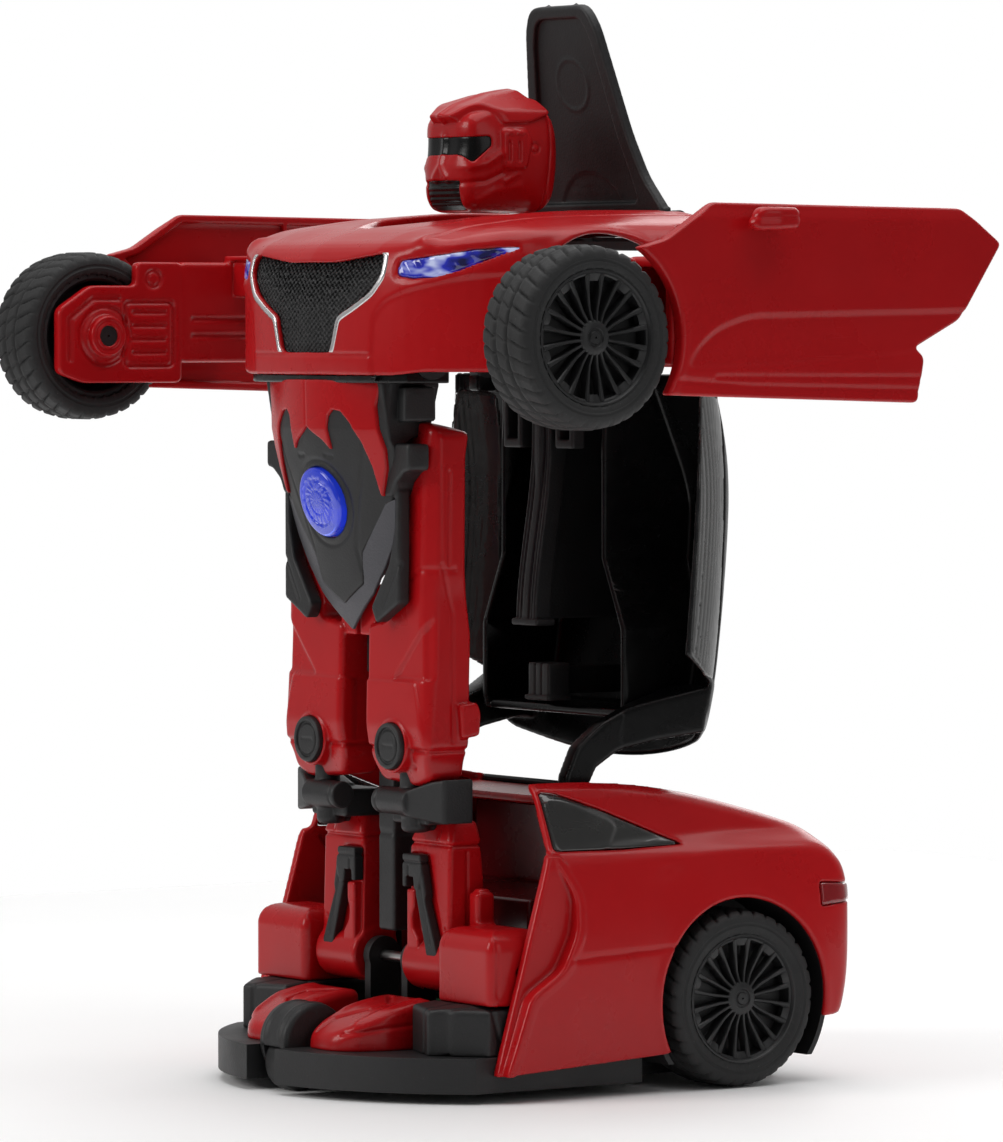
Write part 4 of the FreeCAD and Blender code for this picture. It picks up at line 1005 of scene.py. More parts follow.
def head():
    s = Space((0, 16), (47.5, 95), (243, 286), 0.34, half=True)
    skull = meet(outline(s.y, s.z, HEAD_SIDE, 5), outline(s.x, s.z, HEAD_FRONT, 4), 3)
    skull = meet(skull, outline(s.x, s.y, HEAD_PLAN, 6), 3)
    cheek = line(s.y, s.z, [(52, 262.5), (57, 263.5), (62, 266.6)])
    skull = skull - dent(cheek, 1.2, 0.6)
    skull = skull + dent(line(s.y, s.z, [(50, 257.8), (57, 258.5), (62, 260.8)]), 0.7, 0.5)
    seam = line(s.y, s.z, [(79.3, 279), (79.6, 268), (77.5, 249)])
    skull = skull + dent(seam, 0.45, 0.6)
    ear = outline(s.y, s.z, [(62, 262), (62, 273.5), (70.5, 273.5), (72, 270), (70, 262)], 1.5)
    side_only = s.ax > 8
    skull = skull - 0.8 * smooth(0.5, -0.5, ear) * side_only
    for y in (64.0, 67.4):
        skull = skull + dent(line(s.y, s.z, [(y, 264.5), (y, 269.5)]), 0.55, 0.7) * side_only
        skull = skull - dent(line(s.y, s.z, [(y, 272.4), (y + 1, 272.4)]), 0.8, 0.5) * side_only
    skull = skull + dent(disc(s.y, s.z, (73.5, 268), 1.4), 0.5, 0.5) * side_only
    skull = skull - dent(line(s.y, s.z, [(63.5, 258.5), (67.5, 260.5)]), 0.9, 0.5) * side_only
    skull = skull - dent(line(s.y, s.z, [(55, 252.5), (60, 255.5), (68, 257)]), 1.4, 0.4) * side_only
    nose = line(s.x, s.z, [(0, 271), (0, 263), (3.0, 259.5)])
    skull = skull - dent(nose, 1.3, 0.7) * (s.y < 56)
    crest = meet(outline(s.y, s.z, CREST_SIDE, 1.0), outline(s.x, s.z, CREST_FRONT, 1.5), 0.8)
    crest = meet(crest, s.ax - 4.5 - 0.62 * (s.y - 48), 1.0)
    crest = crest - dent(s.ax, 1.4, 0.5)
    visor = outline(s.y, s.z, VISOR, 1.0)
    guard = outline(s.y, s.z, [(46, 247), (46, 259), (51.5, 258.6), (55.8, 255.6), (54, 252),
                               (54.5, 247)], 1)
    dark = np.minimum(visor, meet(guard, s.ax - 8))
    shell = join(skull, crest, 0.5)
    shell = less(shell, meet(dark, -(skull + 0.8)), 0.25)
    shoe = meet(meet(slab(s.x, -15.4, 15.4), slab(s.y, 77, 94), 1), slab(s.z, 243.4, 248.9), 0.5)
    posts = meet(slab(s.ax, 9.7, 13.3), slab(s.y, 88.1, 91.7))
    webs = meet(slab(s.ax, 10.4, 12.6), slab(s.y, 91, 95))
    middle = meet(s.ax - 9, 86 - s.y)
    shoe = less(shoe, np.minimum(np.minimum(posts, webs), middle), 0.3)
    folded_torso = FOLDED_HEIGHT + breast_depth(FOLDED_DEPTH - s.y, s.ax)
    shoe = meet(shoe, folded_torso + 1.9 - s.z)
    formed("helmet", s, join(shell, shoe, 0.8), 0.45, "red_gloss", "head_shell")
    mask = meet(meet(skull + 0.35, -(skull + 2.4)), dark - 0.1, 0.3)
    bars = dent(np.abs(((s.z - 250.0) / 1.6 % 1) - 0.5), 0.16, 0.35) * (s.z < 258)
    formed("visor_and_guard", s, mask + bars, 0.6, "black_gloss", "face_mask")


def flap():
    """Tall tongue behind the head, hollowed at the front inside a raised border."""
    s = Space((0, 41), (88, 109), (243, 311.5), 0.55, half=True)
    lean = math.atan2(13.0, 63.0)
    y, z = s.y - FLAP_HINGE[0], s.z - FLAP_HINGE[1]
    across = y * math.cos(lean) + z * math.sin(lean)
    up = z * math.cos(lean) - y * math.sin(lean)
    points = [(-36, 1), (-36, 4), (-29, 13.5), (-24.5, 26), (-19.4, 49), (-17.4, 58), (-13.5, 64.2),
              (13.5, 64.2), (17.4, 58), (19.4, 49), (24.5, 26), (29, 13.5), (36, 4), (36, 1)]
    edge = outline(s.x, up, points, 3.5)
    panel = meet(edge, slab(across, -2.0, 1.25), 0.9)
    inner = [(x * 0.80, 5.5 + (u - 4) * 0.915) for x, u in points[2:-2]] + [(25, 6), (-25, 6)]
    hollow = outline(s.x, up, inner, 3)
    circle = np.sqrt(s.x ** 2 + (up - 41) ** 2) - 7.5
    arc = np.sqrt(s.x ** 2 + (up + 2) ** 2) - 17
    depth = across + 0.35 + dent(circle, 0.6, 0.25) - 0.5 * smooth(0.6, -0.6, arc)
    panel = less(panel, meet(hollow, depth), 0.5)
    panel = panel - dent(np.abs(s.ax - 7), 0.7, 0.5) * (across > 0.6)
    barrel = meet(np.sqrt(across ** 2 + up ** 2) - 2.4, s.ax - 36.2, 0.4)
    web = meet(meet(slab(across, -1.25, 1.25), slab(up, 0, 4)), s.ax - 36.2, 0.3)
    pin = meet(np.sqrt(across ** 2 + up ** 2) - 1.5, s.ax - 40.8, 0.3)
    body = join(join(join(panel, web, 0.5), barrel, 0.8), pin, 0.3)
    formed("flap_panel", s, body, 0.4, "black_satin", "bonnet_flap")


# ------------------------------------------------------------------------- canopy
ROOF_DROP = ([91, 99, 107, 115, 136, 155, 171, 186, 196, 204], [11, 9, 7, 5, 2.4, 0.7, 0, 1.5, 2.9, 4.2])


def canopy():
    """Roof and windscreen seen from inside, its deep ribs, and the arms that it swings on."""
    s = Space((0, 66), (57, 126), (60, 205), 0.72, half=True)
    drop = eased(s.z, *ROOF_DROP, 7)
    height = eased(s.ax, [0, 15, 28, 38, 46, 52, 57, 61, 63.5, 66],
                   [124, 123.8, 122.8, 121, 118.4, 115, 110.8, 104, 97, 88], 3.5)
    roof = (s.y - (height - drop)) * 0.85
    outer = meet(roof, s.ax - (64.8 - 0.15 * drop), 1.5)
    screen = (s.y - (127 - 0.42 * (s.z - 158))) * 0.92
    outer = meet(outer, screen, 5)
    belt = np.interp(s.z, [91, 108, 115, 123.5, 155, 197], [104, 104, 104.5, 91.6, 94, 96.8])
    rim = np.abs(belt - s.y)
    tail = 91.5 + 0.003 * s.ax ** 2 + 8.0 * smooth(44, 62, s.ax)
    inner = outer + WALL
    shell = less(outer, inner)
    shell = shell + dent(rim - 2.2, 0.5, 0.35) * (s.ax > 60)
    shell = meet(meet(shell, tail - s.z, 1.2), s.z - 203, 0.8)
    shell = meet(shell, belt - s.y, 0.6)
    glass = outline(s.y, s.z, [(93.4, 124), (101.5, 117.6), (108.5, 115.8), (109.2, 196), (97.6, 197.5)], 1)
    glass = meet(glass, 55 - s.ax)
    spread_out = np.interp(s.z, [100, 108, 130, 150], [32, 34, 34, 24.4])
    wall_edge = 89.0 + 0.35 * smooth(182, 190, s.z)
    wall = meet(slab(s.ax, spread_out, spread_out + 1.9), wall_edge - s.y, 0.5)
    wall = meet(wall, slab(s.z, 104.5, 199), 0.5)
    wall = meet(wall, inner - 1.0)
    floor_of_box = meet(meet(slab(s.z, 104.5, 107), s.ax - 33), meet(90 - s.y, inner - 1.0), 0.5)
    body = join(join(shell, wall, 1.2), floor_of_box, 0.8)
    bar = block(s, (-24, 24), (96, 108), (198, 203), 0.8)
    close = meet(disc(s.y, s.z, CANOPY_CLOSE, 5), slab(s.ax, 19, 24), 0.6)
    uprights = twin_block(s, (19, 24), (76, 106), (198, 203), 0.6)
    body = join(body, join(join(bar, uprights, 1), twin_block(s, (19, 24), (96, 118), (198, 203)), 0.5), 1)
    body = join(body, close)
    root = line(s.y, s.z, [(95, 64), (75, 65), (68.4, 69), (67.4, 77), (67.6, 88), (71, 94.5), (79, 99.8),
                           (90, 104), (104, 107.6), (118, 107.6)])
    width = np.interp(s.y, [64, 72, 84, 104], [3.6, 4.6, 5.2, 6.2])
    width = np.where(s.z < 84, 3.4, width)
    reach = 43.2 + 0.66 * np.maximum(s.y - 84, 0)
    arm = meet(meet(root - width, 38.2 - s.ax, 0.9), s.ax - reach, 0.9)
    arm = meet(arm, outer + 0.3)
    knuckle = meet(disc(s.y, s.z, CANOPY_HINGE, 4.5), slab(s.ax, 38.2, 43.2), 0.7)
    body = join(body, join(arm, knuckle, 1.2), 1.2)
    body = less(body, disc(s.y, s.z, CANOPY_HINGE, 1.55), 0.2)
    body = less(body, meet(glass, -(inner + 3)), 0.4)
    formed("canopy_skin", s, body, 0.5, "black_gloss", "canopy_shell")
    pane = meet(meet(outer + 0.35, -(inner + 0.1)), glass - 0.6, 0.4)
    formed("side_panes", s, pane, 0.4, "charcoal_window", "canopy_glass")
    liner = Space((0, 19), (78, 126), (104, 202), 0.45, half=True)
    lean = 85 - 5.5 * smooth(184, 131, liner.z)
    rail = meet(meet(liner.ax - 4.8, slab(liner.z, 131, 190), 0.6), slab(liner.y - lean, 0, 6), 0.5)
    flutes = dent(np.abs(liner.ax - 2.0), 0.4, 0.45) + dent(np.abs(liner.ax - 3.4), 0.35, 0.35)
    rail = rail + flutes * (liner.y < lean + 2)
    cap = meet(meet(liner.ax - 6.4, slab(liner.z, 130.2, 132.2), 0.5), slab(liner.y - lean, -0.4, 6.4), 0.4)
    web = meet(meet(liner.ax - 1.2, slab(liner.z, 132, 190)), slab(liner.y, 84, 123))
    slot = meet(meet(slab(liner.ax, 8.6, 17.6), slab(liner.z, 181.6, 201), 0.6), slab(liner.y, 84, 88.5), 0.5)
    window = meet(slab(liner.ax, 10.4, 15.8), slab(liner.z, 184.2, 199.4), 0.5)
    slot = less(slot, meet(window, liner.y - 92), 0.3)
    back = meet(meet(slab(liner.ax, 8.6, 17.6), slab(liner.z, 196, 201)), slab(liner.y, 86, 100))
    cup = meet(meet(liner.ax - 5.2, slab(liner.z, 109.2, 119.2), 0.5), slab(liner.y, 84.2, 92), 0.5)
    cup = cup + dent(np.abs(liner.ax - 1.6), 0.35, 0.35) * (liner.y < 86)
    lip = meet(meet(liner.ax - 6.0, slab(liner.z, 108.4, 109.8), 0.3), slab(liner.y, 83.4, 92), 0.3)
    stem = meet(meet(liner.ax - 1.2, slab(liner.z, 110, 118)), slab(liner.y, 90, 118))
    cross = meet(meet(liner.ax - 19, slab(liner.z, 199, 202)), slab(liner.y, 86, 100))
    parts = rail
    for extra in (cap, web, slot, back, cup, lip, stem, cross):
        parts = join(parts, extra, 0.3)
    drop = eased(liner.z, *ROOF_DROP, 7)
    parts = meet(parts, liner.y - (122.6 - drop))
    formed("canopy_liner", liner, parts, 0.45, "black_satin", "canopy_shell",
           replaces=False)
    top = Space((0, 26), (73, 100), (197, 242), 0.5, half=True)
    arm_line = line(top.y, top.z, [(79, 236), (79, 204), (84, 200.5), (98, 200.5)])
    stub = meet(arm_line - 3.0, slab(top.ax, 19, 24), 0.7)
    eye = meet(disc(top.y, top.z, CANOPY_CLOSE, 5), slab(top.ax, 19, 24), 0.6)
    eye = eye + dent(np.abs(disc(top.y, top.z, CANOPY_CLOSE, 3.4)), 0.4, 0.4)
    pegs = meet(disc(top.y, top.z, CANOPY_CLOSE, 2.5), slab(top.ax, 19, 27.4), 0.3)
    closing = join(join(stub, eye, 1.0), pegs, 0.3)
    formed("closing_arms", top, closing, 0.5, "black_satin", "canopy_shell",
           replaces=False)


front_body()
doors()
mirrors()
stays()
head()
flap()
canopy()


# ------------------------------------------------------------------------- torso
CORE = [(-31, 201.6), (-29.5, 190), (-30, 181), (-26.5, 168), (-12.6, 153), (-10.5, 144), (0, 138),
        (10.5, 144), (12.6, 153), (26.5, 168), (30, 181), (29.5, 190), (31, 201.6)]
FLAME = [(29.2, 201.9), (26.9, 194.7), (27.3, 188.8), (28.3, 182.4), (27.6, 177.0), (24.3, 168.3),
         (23.3, 177.5), (21.3, 184.4), (18.2, 189.7), (15.0, 192.9), (11.8, 193.4), (9.8, 191.6),
         (9.2, 188.5), (9.5, 181.8), (6.4, 184.8), (2.4, 187.0), (0, 188.6)]
GREY = [(24.2, 167.2), (28.0, 168.6), (27.4, 162), (24.7, 156.3), (19.5, 148.5), (13.2, 141), (0, 130.4),
        (0, 138.4), (10.3, 144.1), (12.1, 152.7)]
WING = [(27.6, 172), (29.6, 171), (29.4, 139), (18, 133), (15.5, 137.5), (24.6, 150), (27.4, 160)]


def torso():
    s = Space((0, 33), (2.5, 31), (128, 203), 0.42, half=True)
    depth = breast_depth(s.z, s.ax)
    front = (depth - s.y) * 0.92
    core = outline(s.ax, s.z, CORE, 0.8)
    ridge = [(22.5, 188), (20.1, 179.6), (14.5, 166), (11.0, 154.2), (11.5, 148)]
    facet = 0.05 * np.maximum(s.ax - np.interp(s.z, [148, 154, 166, 180, 188], [11.5, 11, 14.5, 20, 22.5]), 0)
    ring_seat = np.sqrt(s.x ** 2 + (s.z - LENS[1]) ** 2) - 12.2
    relief = dent(line(s.ax, s.z, ridge), 0.7, 0.35) + dent(np.abs(ring_seat), 0.6, 0.4)
    relief = relief + dent(line(s.ax, s.z, [(5.5, 180.5), (8.5, 180.2)]), 0.5, 0.4)
    thick = 4.5 - 3.0 * smooth(172, 163, s.z) * smooth(20, 17, s.ax)
    plate = meet(meet(core, front + relief + facet, 0.5), s.y - depth - thick)
    cheek = meet(outline(s.y, s.z, [(9.5, 201.8), (29.6, 201.2), (27.0, 190.6), (26.6, 186.9), (20, 185.2),
                                    (15.5, 181), (12.5, 184)], 1), slab(s.ax, 26.5, 30), 0.5)
    body = less(join(plate, cheek, 0.6), meet(ring_seat + 2.1, -front - 1.8), 0.2)
    formed("breastplate", s, body, 0.4, "black_satin", "torso_core")
    flame = outline(s.ax, s.z, FLAME + [(0, 201.9)], 0.5)
    skin_in = meet(meet(flame, front - 0.75, 0.5), s.y - depth - 1.2)
    skin_in = less(skin_in, ring_seat)
    formed("flame_plate", s, skin_in, 0.4, "red_gloss", "torso_cover")
    grey = outline(s.ax, s.z, GREY, 0.4)
    panel = meet(meet(grey, front + 0.35, 0.3), s.y - depth - np.minimum(thick, 3.0))
    formed("waist_panels", s, panel, 0.4, "grey_panel", "torso_side_panels")
    lens = Space((0, 11), (4, 13), (156, 178), 0.24, half=True)
    radius = np.sqrt(lens.x ** 2 + (lens.z - LENS[1]) ** 2)
    tilt = 0.244 * (LENS[1] - lens.z)
    face = 7.3 + tilt + 0.010 * radius ** 2
    swirl = np.sin(np.arctan2(lens.z - LENS[1], lens.x) * 9 + radius * 0.9)
    facets = 0.16 * np.abs(swirl) * smooth(8.2, 6.5, radius)
    face = face + facets + dent(np.abs(radius - 6.4), 0.35, 0.4) + dent(np.abs(radius - 3.4), 0.3, 0.25)
    button = meet(meet(radius - 9.9, (face - lens.y) * 0.95, 0.9), lens.y - (12.2 + tilt))
    formed("lens_face", lens, button, 0.6, "blue_lens", "chest_lens")


def frame_of_legs():
    """Middle column, hip beam, waist trunnions and the black guards beside the waist panels."""
    s = Space((0, 39), (12, 43), (43, 214), 0.62, half=True)
    column = meet(meet(s.ax - 4, slab(s.y, 31, 41.8), 0.8), slab(s.z, 44, 131), 0.5)
    column = column + dent(np.abs(s.z - 72), 0.6, 0.5)
    back_front = breast_depth(s.z, s.ax) + 3.0
    guard = meet(outline(s.ax, s.z, WING, 0.8), slab(s.y, 15.6, 19.8), 0.5)
    guard = guard + dent(line(s.ax, s.z, [(29, 150), (22, 138.5)]), 0.7, 0.5) * (s.y < 17)
    rails = meet(slab(s.ax, 17.2, 28.5), slab(s.z, 150, 200), 1)
    rails = meet(rails, meet(slab(s.y, 15, 19.8), back_front - s.y))
    beam = meet(meet(s.ax - 30, meet(s.y - 24, back_front - s.y)), slab(s.z, 190.2, 201), 0.6)
    hook = outline(s.ax, s.z, [(24, 184), (37.2, 184), (37.2, 176.7), (34, 176), (30, 173), (28, 169),
                               (24, 169)], 1)
    hook = meet(meet(slab(s.ax, 24, 37.2), slab(s.y, 14.2, 21.4), 0.8), hook, 0.8)
    neck = meet(meet(s.ax - 4, slab(s.y, 27, 37)), slab(s.z, 118, 131))
    lug = meet(disc(s.y, s.z, WAIST, 5), slab(s.ax, 26, 30), 0.5)
    hips = join(block(s, (26, 30), (15, 25), (190.2, 208), 0.5), lug, 0.5)
    hips = join(hips, block(s, (30, 34), (15, 25.5), (190.2, 200), 0.5), 0.4)
    pins = meet(disc(s.y, s.z, WAIST, 3), slab(s.ax, 28, 38.6), 0.4)
    link = meet(meet(s.ax - 12, slab(s.y, 37, 42), 0.6), slab(s.z, 62, 68), 0.6)
    body = column
    for part in (guard, rails, beam, hook, neck, hips, pins, link):
        body = join(body, part, 0.5)
    formed("leg_spine", s, body, 0.35, "black_satin", "leg_frame")


# ------------------------------------------------------------------------- legs
KNEE_CAP = (21, 98.3)
THIGH_FRONT = [(17, 190), (33, 190.5), (38, 187), (38, 148), (37.2, 140), (37.2, 135), (37.2, 98),
               (35, 94.5), (34.4, 89.5), (27.5, 86.2), (20, 87.4), (10, 88.2), (6.8, 94), (6.5, 132),
               (17, 134)]
THIGH_SIDE = [(22.6, 190.8), (21.0, 176), (20.6, 150), (20.2, 120), (19.8, 104), (21, 96), (23.5, 86.5),
              (34.6, 88), (35, 100), (35.6, 130), (33.2, 148), (33.4, 180), (34.6, 187.4)]


def thigh():
    s = Space((0.2, 40.5), (17, 38.5), (84, 192), 0.45)
    front = outline(s.x, s.z, THIGH_FRONT, 2)
    side = outline(s.y, s.z, THIGH_SIDE, 1.5)
    form = meet(front, side, 1.6)
    corner = ((s.x - np.interp(s.z, [98, 117, 135, 190], [36.4, 35, 34.2, 34.6])) - (s.y - 20.6)) * 0.707
    form = meet(form, corner, 1.0)
    hollow = outline(s.x, s.z, [(38.5, 136.2), (41, 136), (41, 117.4), (33, 117.4), (20.5, 117.4)], 0.5)
    form = form + 0.9 * smooth(0.9, -0.9, hollow) * smooth(24, 22, s.y)
    knee = outline(s.x, s.z, [(4, 116.6), (31.6, 116.6), (35.8, 102), (35.8, 98), (4, 98)], 1)
    form = form - 0.55 * smooth(0.6, -0.6, knee) * smooth(26, 23, s.y)
    upper = line(s.x, s.z, [(14, 133), (20, 140), (33, 148.5), (40, 148.5)])
    form = form + dent(upper, 0.8, 0.3) * (s.y < 30)
    form = form + dent(np.abs(s.z - 97.4), 0.55, 0.6)
    form = form + dent(disc(s.x, s.z, (28.5, 92.6), 0), 0.9, 0.5) * (s.y < 26)
    form = form + dent(line(s.y, s.z, [(27.5, 176), (27.2, 150)]), 0.5, 0.35) * (s.x > 35)
    form = form + dent(line(s.y, s.z, [(25, 150), (29, 136), (29, 100)]), 0.6, 0.4) * (s.x > 35)
    guard = meet(outline(s.y, s.z, [(31, 100.6), (30.2, 110.4), (36.2, 111), (37.4, 108), (37, 101.5)], 1.2),
                 slab(s.x, 33, 39.4), 0.9)
    tab = meet(slab(s.x, 1.0, 8.9), meet(slab(s.y, 21.5, 25.5), slab(s.z, 129, 143.6), 0.5), 0.5)
    collar = meet(disc(s.x, s.z, KNEE_CAP, 7.6), slab(s.y, 18.8, 23), 0.5)
    form = join(join(join(form, guard, 0.8), tab, 0.6), collar, 0.6)
    form = less(form, meet(disc(s.x, s.z, KNEE_CAP, 6.6), s.y - 20.4), 0.2)
    formed_pair("thigh_casing", s, form, 0.35, "red_gloss", "thigh")


def shin():
    s = Space((11, 34.5), (26.5, 45), (27, 78), 0.36)
    side = outline(s.y, s.z, [(33.2, 77), (31.2, 70.8), (30.6, 42), (34, 32), (36, 28), (40, 28.4), (43, 33),
                              (43, 60), (41.4, 77)], 1.2)
    front = outline(s.x, s.z, [(14.4, 77), (30.4, 77), (32.6, 70.6), (32.9, 40), (32.9, 29), (12.1, 29),
                               (12.1, 69), (12.8, 71)], 1.2)
    form = meet(side, front, 1.2)
    form = form + dent(np.abs(s.z - 70.0), 0.5, 0.7)
    form = form - 0.35 * smooth(70.2, 71.2, s.z)
    form = form + dent(line(s.x, s.z, [(26.8, 77), (26.8, 71)]), 0.4, 0.35) * (s.y < 34)
    bay = outline(s.x, s.z, [(12.8, 67), (22, 67), (24, 60), (29.6, 42), (28, 35.5), (21, 35), (12.8, 36)], 1)
    form = form + 1.1 * smooth(0.7, -0.7, bay) * (s.y < 36)
    form = form + dent(line(s.x, s.z, [(21.5, 42), (29.5, 38)]), 0.6, 0.6) * (s.y < 36)
    form = form + dent(disc(s.x, s.z, (30.2, 46), 0), 0.8, 0.5) * (s.y < 34)
    form = form + dent(line(s.y, s.z, [(37, 68), (37, 46)]), 0.5, 0.4) * (s.x > 30)
    rod_shape = outline(s.x, s.z, [(13.6, 57), (17.4, 57), (17.4, 52), (16.2, 49.6), (16.6, 46),
                                   (19.4, 42.6), (19.4, 37.6), (13.6, 37.2)], 0.8)
    plunger = meet(rod_shape, slab(s.y, 29.0, 33), 0.7)
    boss = meet(disc(s.y, s.z, ANKLE, 8), slab(s.x, 12.1, 32.9), 1.0)
    boss = boss + dent(np.abs(disc(s.y, s.z, ANKLE, 4.6)), 0.5, 0.5) * (s.x > 31)
    form = join(join(form, boss, 0.8), plunger, 0.3)
    form = less(form, disc(s.y, s.z, ANKLE, 1.56), 0.1)
    formed_pair("shin_casing", s, form, 0.38, "red_gloss", "shin")


def strut():
    s = Space((11, 30.5), (27, 33), (34, 69), 0.26)
    head_box = outline(s.x, s.z, [(12.4, 57.5), (12.4, 67), (21.2, 67), (22.2, 62), (20.6, 57), (18.2, 57),
                                  (17.8, 60.5), (14.2, 60.5), (14, 57.5)], 0.5)
    head_box = meet(head_box, slab(s.y, 28.3, 31.6), 0.5)
    head_box = head_box + dent(line(s.x, s.z, [(12.4, 64.8), (21.4, 64.8)]), 0.4, 0.45)
    head_box = head_box + dent(line(s.x, s.z, [(15.2, 63.4), (15.2, 60.4)]), 0.4, 0.5) * (s.y < 29.2)
    arm = outline(s.x, s.z, [(18.4, 62), (22.2, 62), (23.6, 56), (23.2, 54), (29.4, 39.4), (27.6, 36.2),
                             (24.4, 37.4), (23.8, 40), (18.8, 56)], 0.5)
    arm = meet(arm, slab(s.y, 28.5, 31.6), 0.5)
    arm = arm + dent(line(s.x, s.z, [(21, 58), (26, 42)]), 0.6, 0.4) * (s.y < 29.4)
    body = join(head_box, arm, 0.3)
    formed_twice("strut", s, body, 0.45, "black_satin", "shin_struts")


def knee():
    s = Space((8, 40), (17, 40), (71, 106), 0.36)
    barrel = meet(disc(s.y, s.z, (23, 82.5), 3.9), slab(s.x, 10, 26.5), 0.6)
    barrel = barrel + dent(np.abs(s.x - 12.2), 0.4, 0.3)
    taper = outline(s.x, s.z, [(22.5, 80.2), (25, 78.6), (38.2, 76.6), (38.2, 89.4), (33.5, 88.6),
                               (25, 85.6), (22.5, 84.6)], 0.8)
    taper_plan = outline(s.x, s.y, [(22.5, 20.6), (27, 20.8), (38.2, 25.5), (38.2, 35.6), (22.5, 35.6)], 1)
    taper = meet(taper, taper_plan, 0.8)
    core = meet(meet(slab(s.x, 12, 30), slab(s.y, 25, 39), 1), slab(s.z, 76, 84), 1)
    upper = meet(disc(s.x, s.y, (22, 25.5), 3.6), slab(s.z, 78, 93), 1.4)
    lower = meet(disc(s.x, s.y, (22, 26.5), 4.0), slab(s.z, 73.6, 84), 1.8)
    lower = join(lower, block(s, (20, 24), (26, 35), (74, 78), 0.8), 0.8)
    radius = disc(s.x, s.z, KNEE_CAP, 0)
    cap = meet(radius - 6.6, slab(s.y, 17.3, 20.8), 0.5)
    cap = less(cap, meet(radius - 5.2, s.y - 18.1), 0.3)
    button = meet(radius - 4.4, slab(s.y, 17.5, 20.6), 0.5)
    button = button + dent(line(s.x, s.z, [(18.6, 98.3), (23.4, 98.3)]), 0.4, 0.35) * (s.y < 18.4)
    cap = join(cap, button, 0.2)
    body = join(join(join(barrel, taper, 0.4), core, 0.6), join(upper, lower, 0.6), 0.5)
    body = np.minimum(body, cap)
    formed_twice("knee", s, body, 0.42, "black_satin", "knee_joints")


torso()
frame_of_legs()
thigh()
shin()
strut()
knee()


# ------------------------------------------------------------------------- CAD pieces that keep their shape
for cad_node, radius, slot in [
        ("chassis_base", 0.9, "black_satin"), ("inner_tub", 1.0, "red_dark"),
        ("front_roller", 0.3, "rim_black"),
        ("battery_pack", 0.5, "battery_green"), ("battery_door", 0.4, "black_satin"),
        ("circuit_board", 0.15, "board_green"), ("drive_gearboxes", 0.8, "gear_white"),
        ("transform_gearbox", 0.8, "gear_white"), ("hinge_pins", 0.2, "steel"), ("case_screws", 0.3, "steel"),
        ("power_switch", 0.3, "black_satin"), ("chest_frame", 0.4, "black_satin")]:
    refined(cad_node, radius, slot)
refined_pair("swing_link", 0.7, "black_satin")


# ------------------------------------------------------------------------- stage
VIEW_AZIMUTH = math.radians(55.466)
VIEW_ELEVATION = math.radians(2.078)


def stage_material():
    material = bpy.data.materials.new("pale_floor")
    material.use_nodes = True
    tree = material.node_tree
    shader = tree.nodes["Principled BSDF"]
    place = node(tree, "ShaderNodeTexCoord").outputs["Object"]
    tone = blend(tree, spread(tree, noise(tree, place, 6, 3), 0.3, 0.7), (0.96, 0.96, 0.96, 1),
                 (0.94, 0.94, 0.94, 1))
    tree.links.new(tone, shader.inputs["Base Color"])
    shader.inputs["Roughness"].default_value = 0.6
    shader.inputs["Specular IOR Level"].default_value = 0.2
    return material


def add_floor():
    """A plain pale sheet that the toy stands on."""
    half = 0.62
    points = [(-half, -half, 0), (half, -half, 0), (half, half, 0), (-half, half, 0)]
    mesh = as_mesh("floor", points, [(0, 1, 2, 3)])
    floor = bpy.data.objects.new("floor", mesh)
    bpy.context.scene.collection.objects.link(floor)
    mesh.materials.append(stage_material())


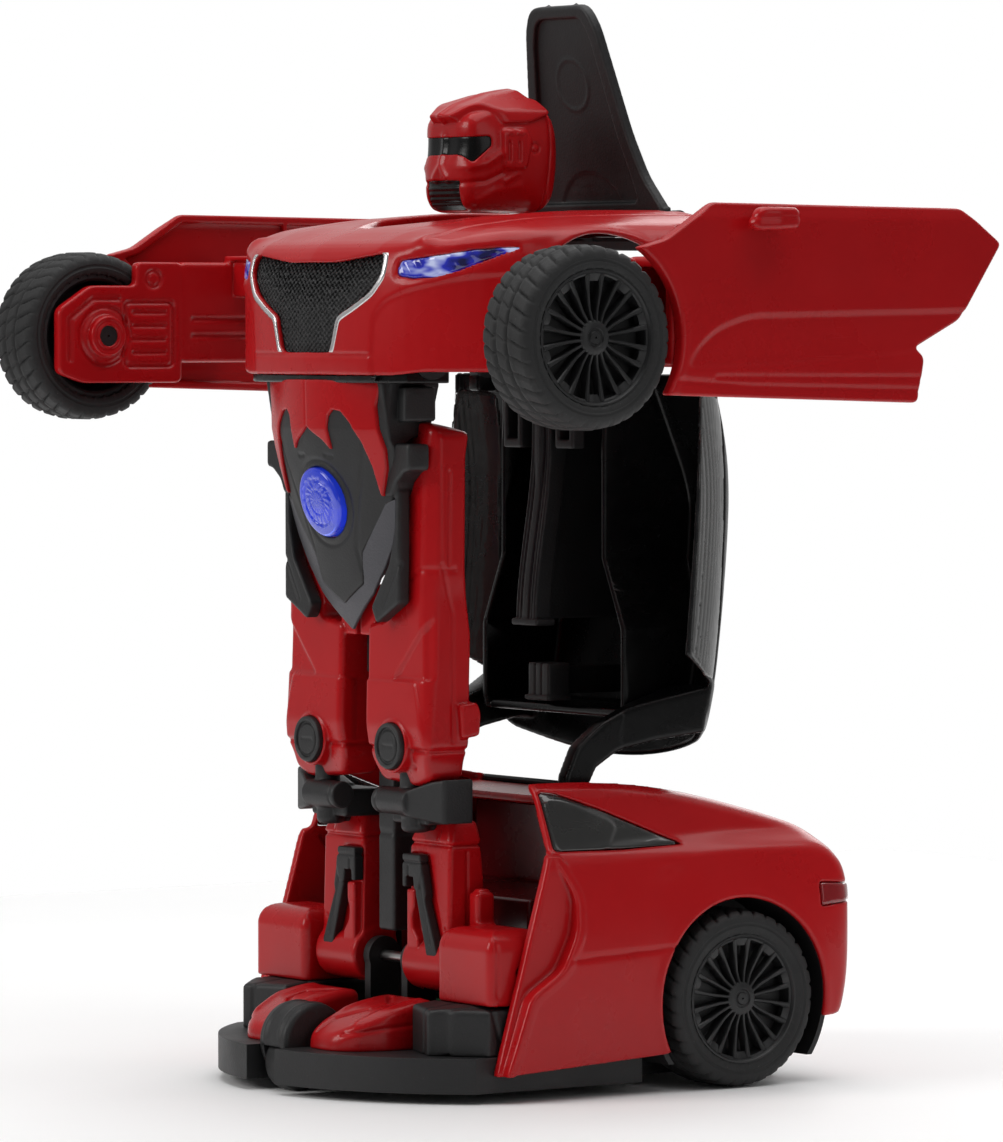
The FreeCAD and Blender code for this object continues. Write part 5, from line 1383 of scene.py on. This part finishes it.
def add_light(name, place, size, power, target=(0.0, 0.0, 0.14), tint=(1, 1, 1)):
    data = bpy.data.lights.new(name, "AREA")
    data.shape = "RECTANGLE"
    data.size, data.size_y = size
    data.energy = power
    data.color = tint
    lamp = bpy.data.objects.new(name, data)
    bpy.context.scene.collection.objects.link(lamp)
    lamp.location = place
    lamp.rotation_euler = (Vector(target) - Vector(place)).to_track_quat("-Z", "Y").to_euler()


def add_camera():
    data = bpy.data.cameras.new("camera")
    data.sensor_fit = "AUTO"
    data.sensor_width = 36.0
    data.lens = 218.3
    data.clip_end = 50.0
    camera = bpy.data.objects.new("camera", data)
    bpy.context.scene.collection.objects.link(camera)
    camera.location = (1.6497, -1.1300, 0.2188)
    camera.rotation_euler = (math.pi / 2 - VIEW_ELEVATION, 0, VIEW_AZIMUTH)
    bpy.context.scene.camera = camera


add_floor()
add_camera()
add_light("key", (-0.5, -1.9, 1.1), (0.9, 0.9), 17, tint=(1, 0.985, 0.97))
add_light("top", (0.15, 0.1, 1.9), (2.2, 2.2), 33)
add_light("side", (2.1, 0.2, 0.7), (0.8, 1.2), 3)
add_light("rear", (-1.0, 1.5, 1.0), (0.9, 0.9), 7)


def add_world():
    """White all round as seen, but a room that lights the toy mostly from the sheet behind it."""
    world = bpy.data.worlds.new("studio")
    world.use_nodes = True
    tree = world.node_tree
    tree.nodes.clear()
    seen = node(tree, "ShaderNodeLightPath").outputs["Is Camera Ray"]
    white = node(tree, "ShaderNodeBackground", {"Color": (1, 1, 1, 1), "Strength": 1.0}).outputs[0]
    towards = node(tree, "ShaderNodeTexCoord").outputs["Generated"]
    facing = node(tree, "ShaderNodeVectorMath", {0: towards, 1: (-0.82, 0.57, 0.0)},
                  operation="DOT_PRODUCT").outputs["Value"]
    sheet = spread(tree, facing, -0.1, 0.9, 0.13, 0.62)
    room = node(tree, "ShaderNodeBackground", {"Color": (1, 1, 1, 1), "Strength": sheet}).outputs[0]
    mixed = node(tree, "ShaderNodeMixShader", {0: seen})
    tree.links.new(room, mixed.inputs[1])
    tree.links.new(white, mixed.inputs[2])
    tree.links.new(mixed.outputs[0], node(tree, "ShaderNodeOutputWorld").inputs[0])
    return world


world = add_world()
bpy.context.scene.world = world
bpy.context.scene.view_settings.view_transform = "Standard"
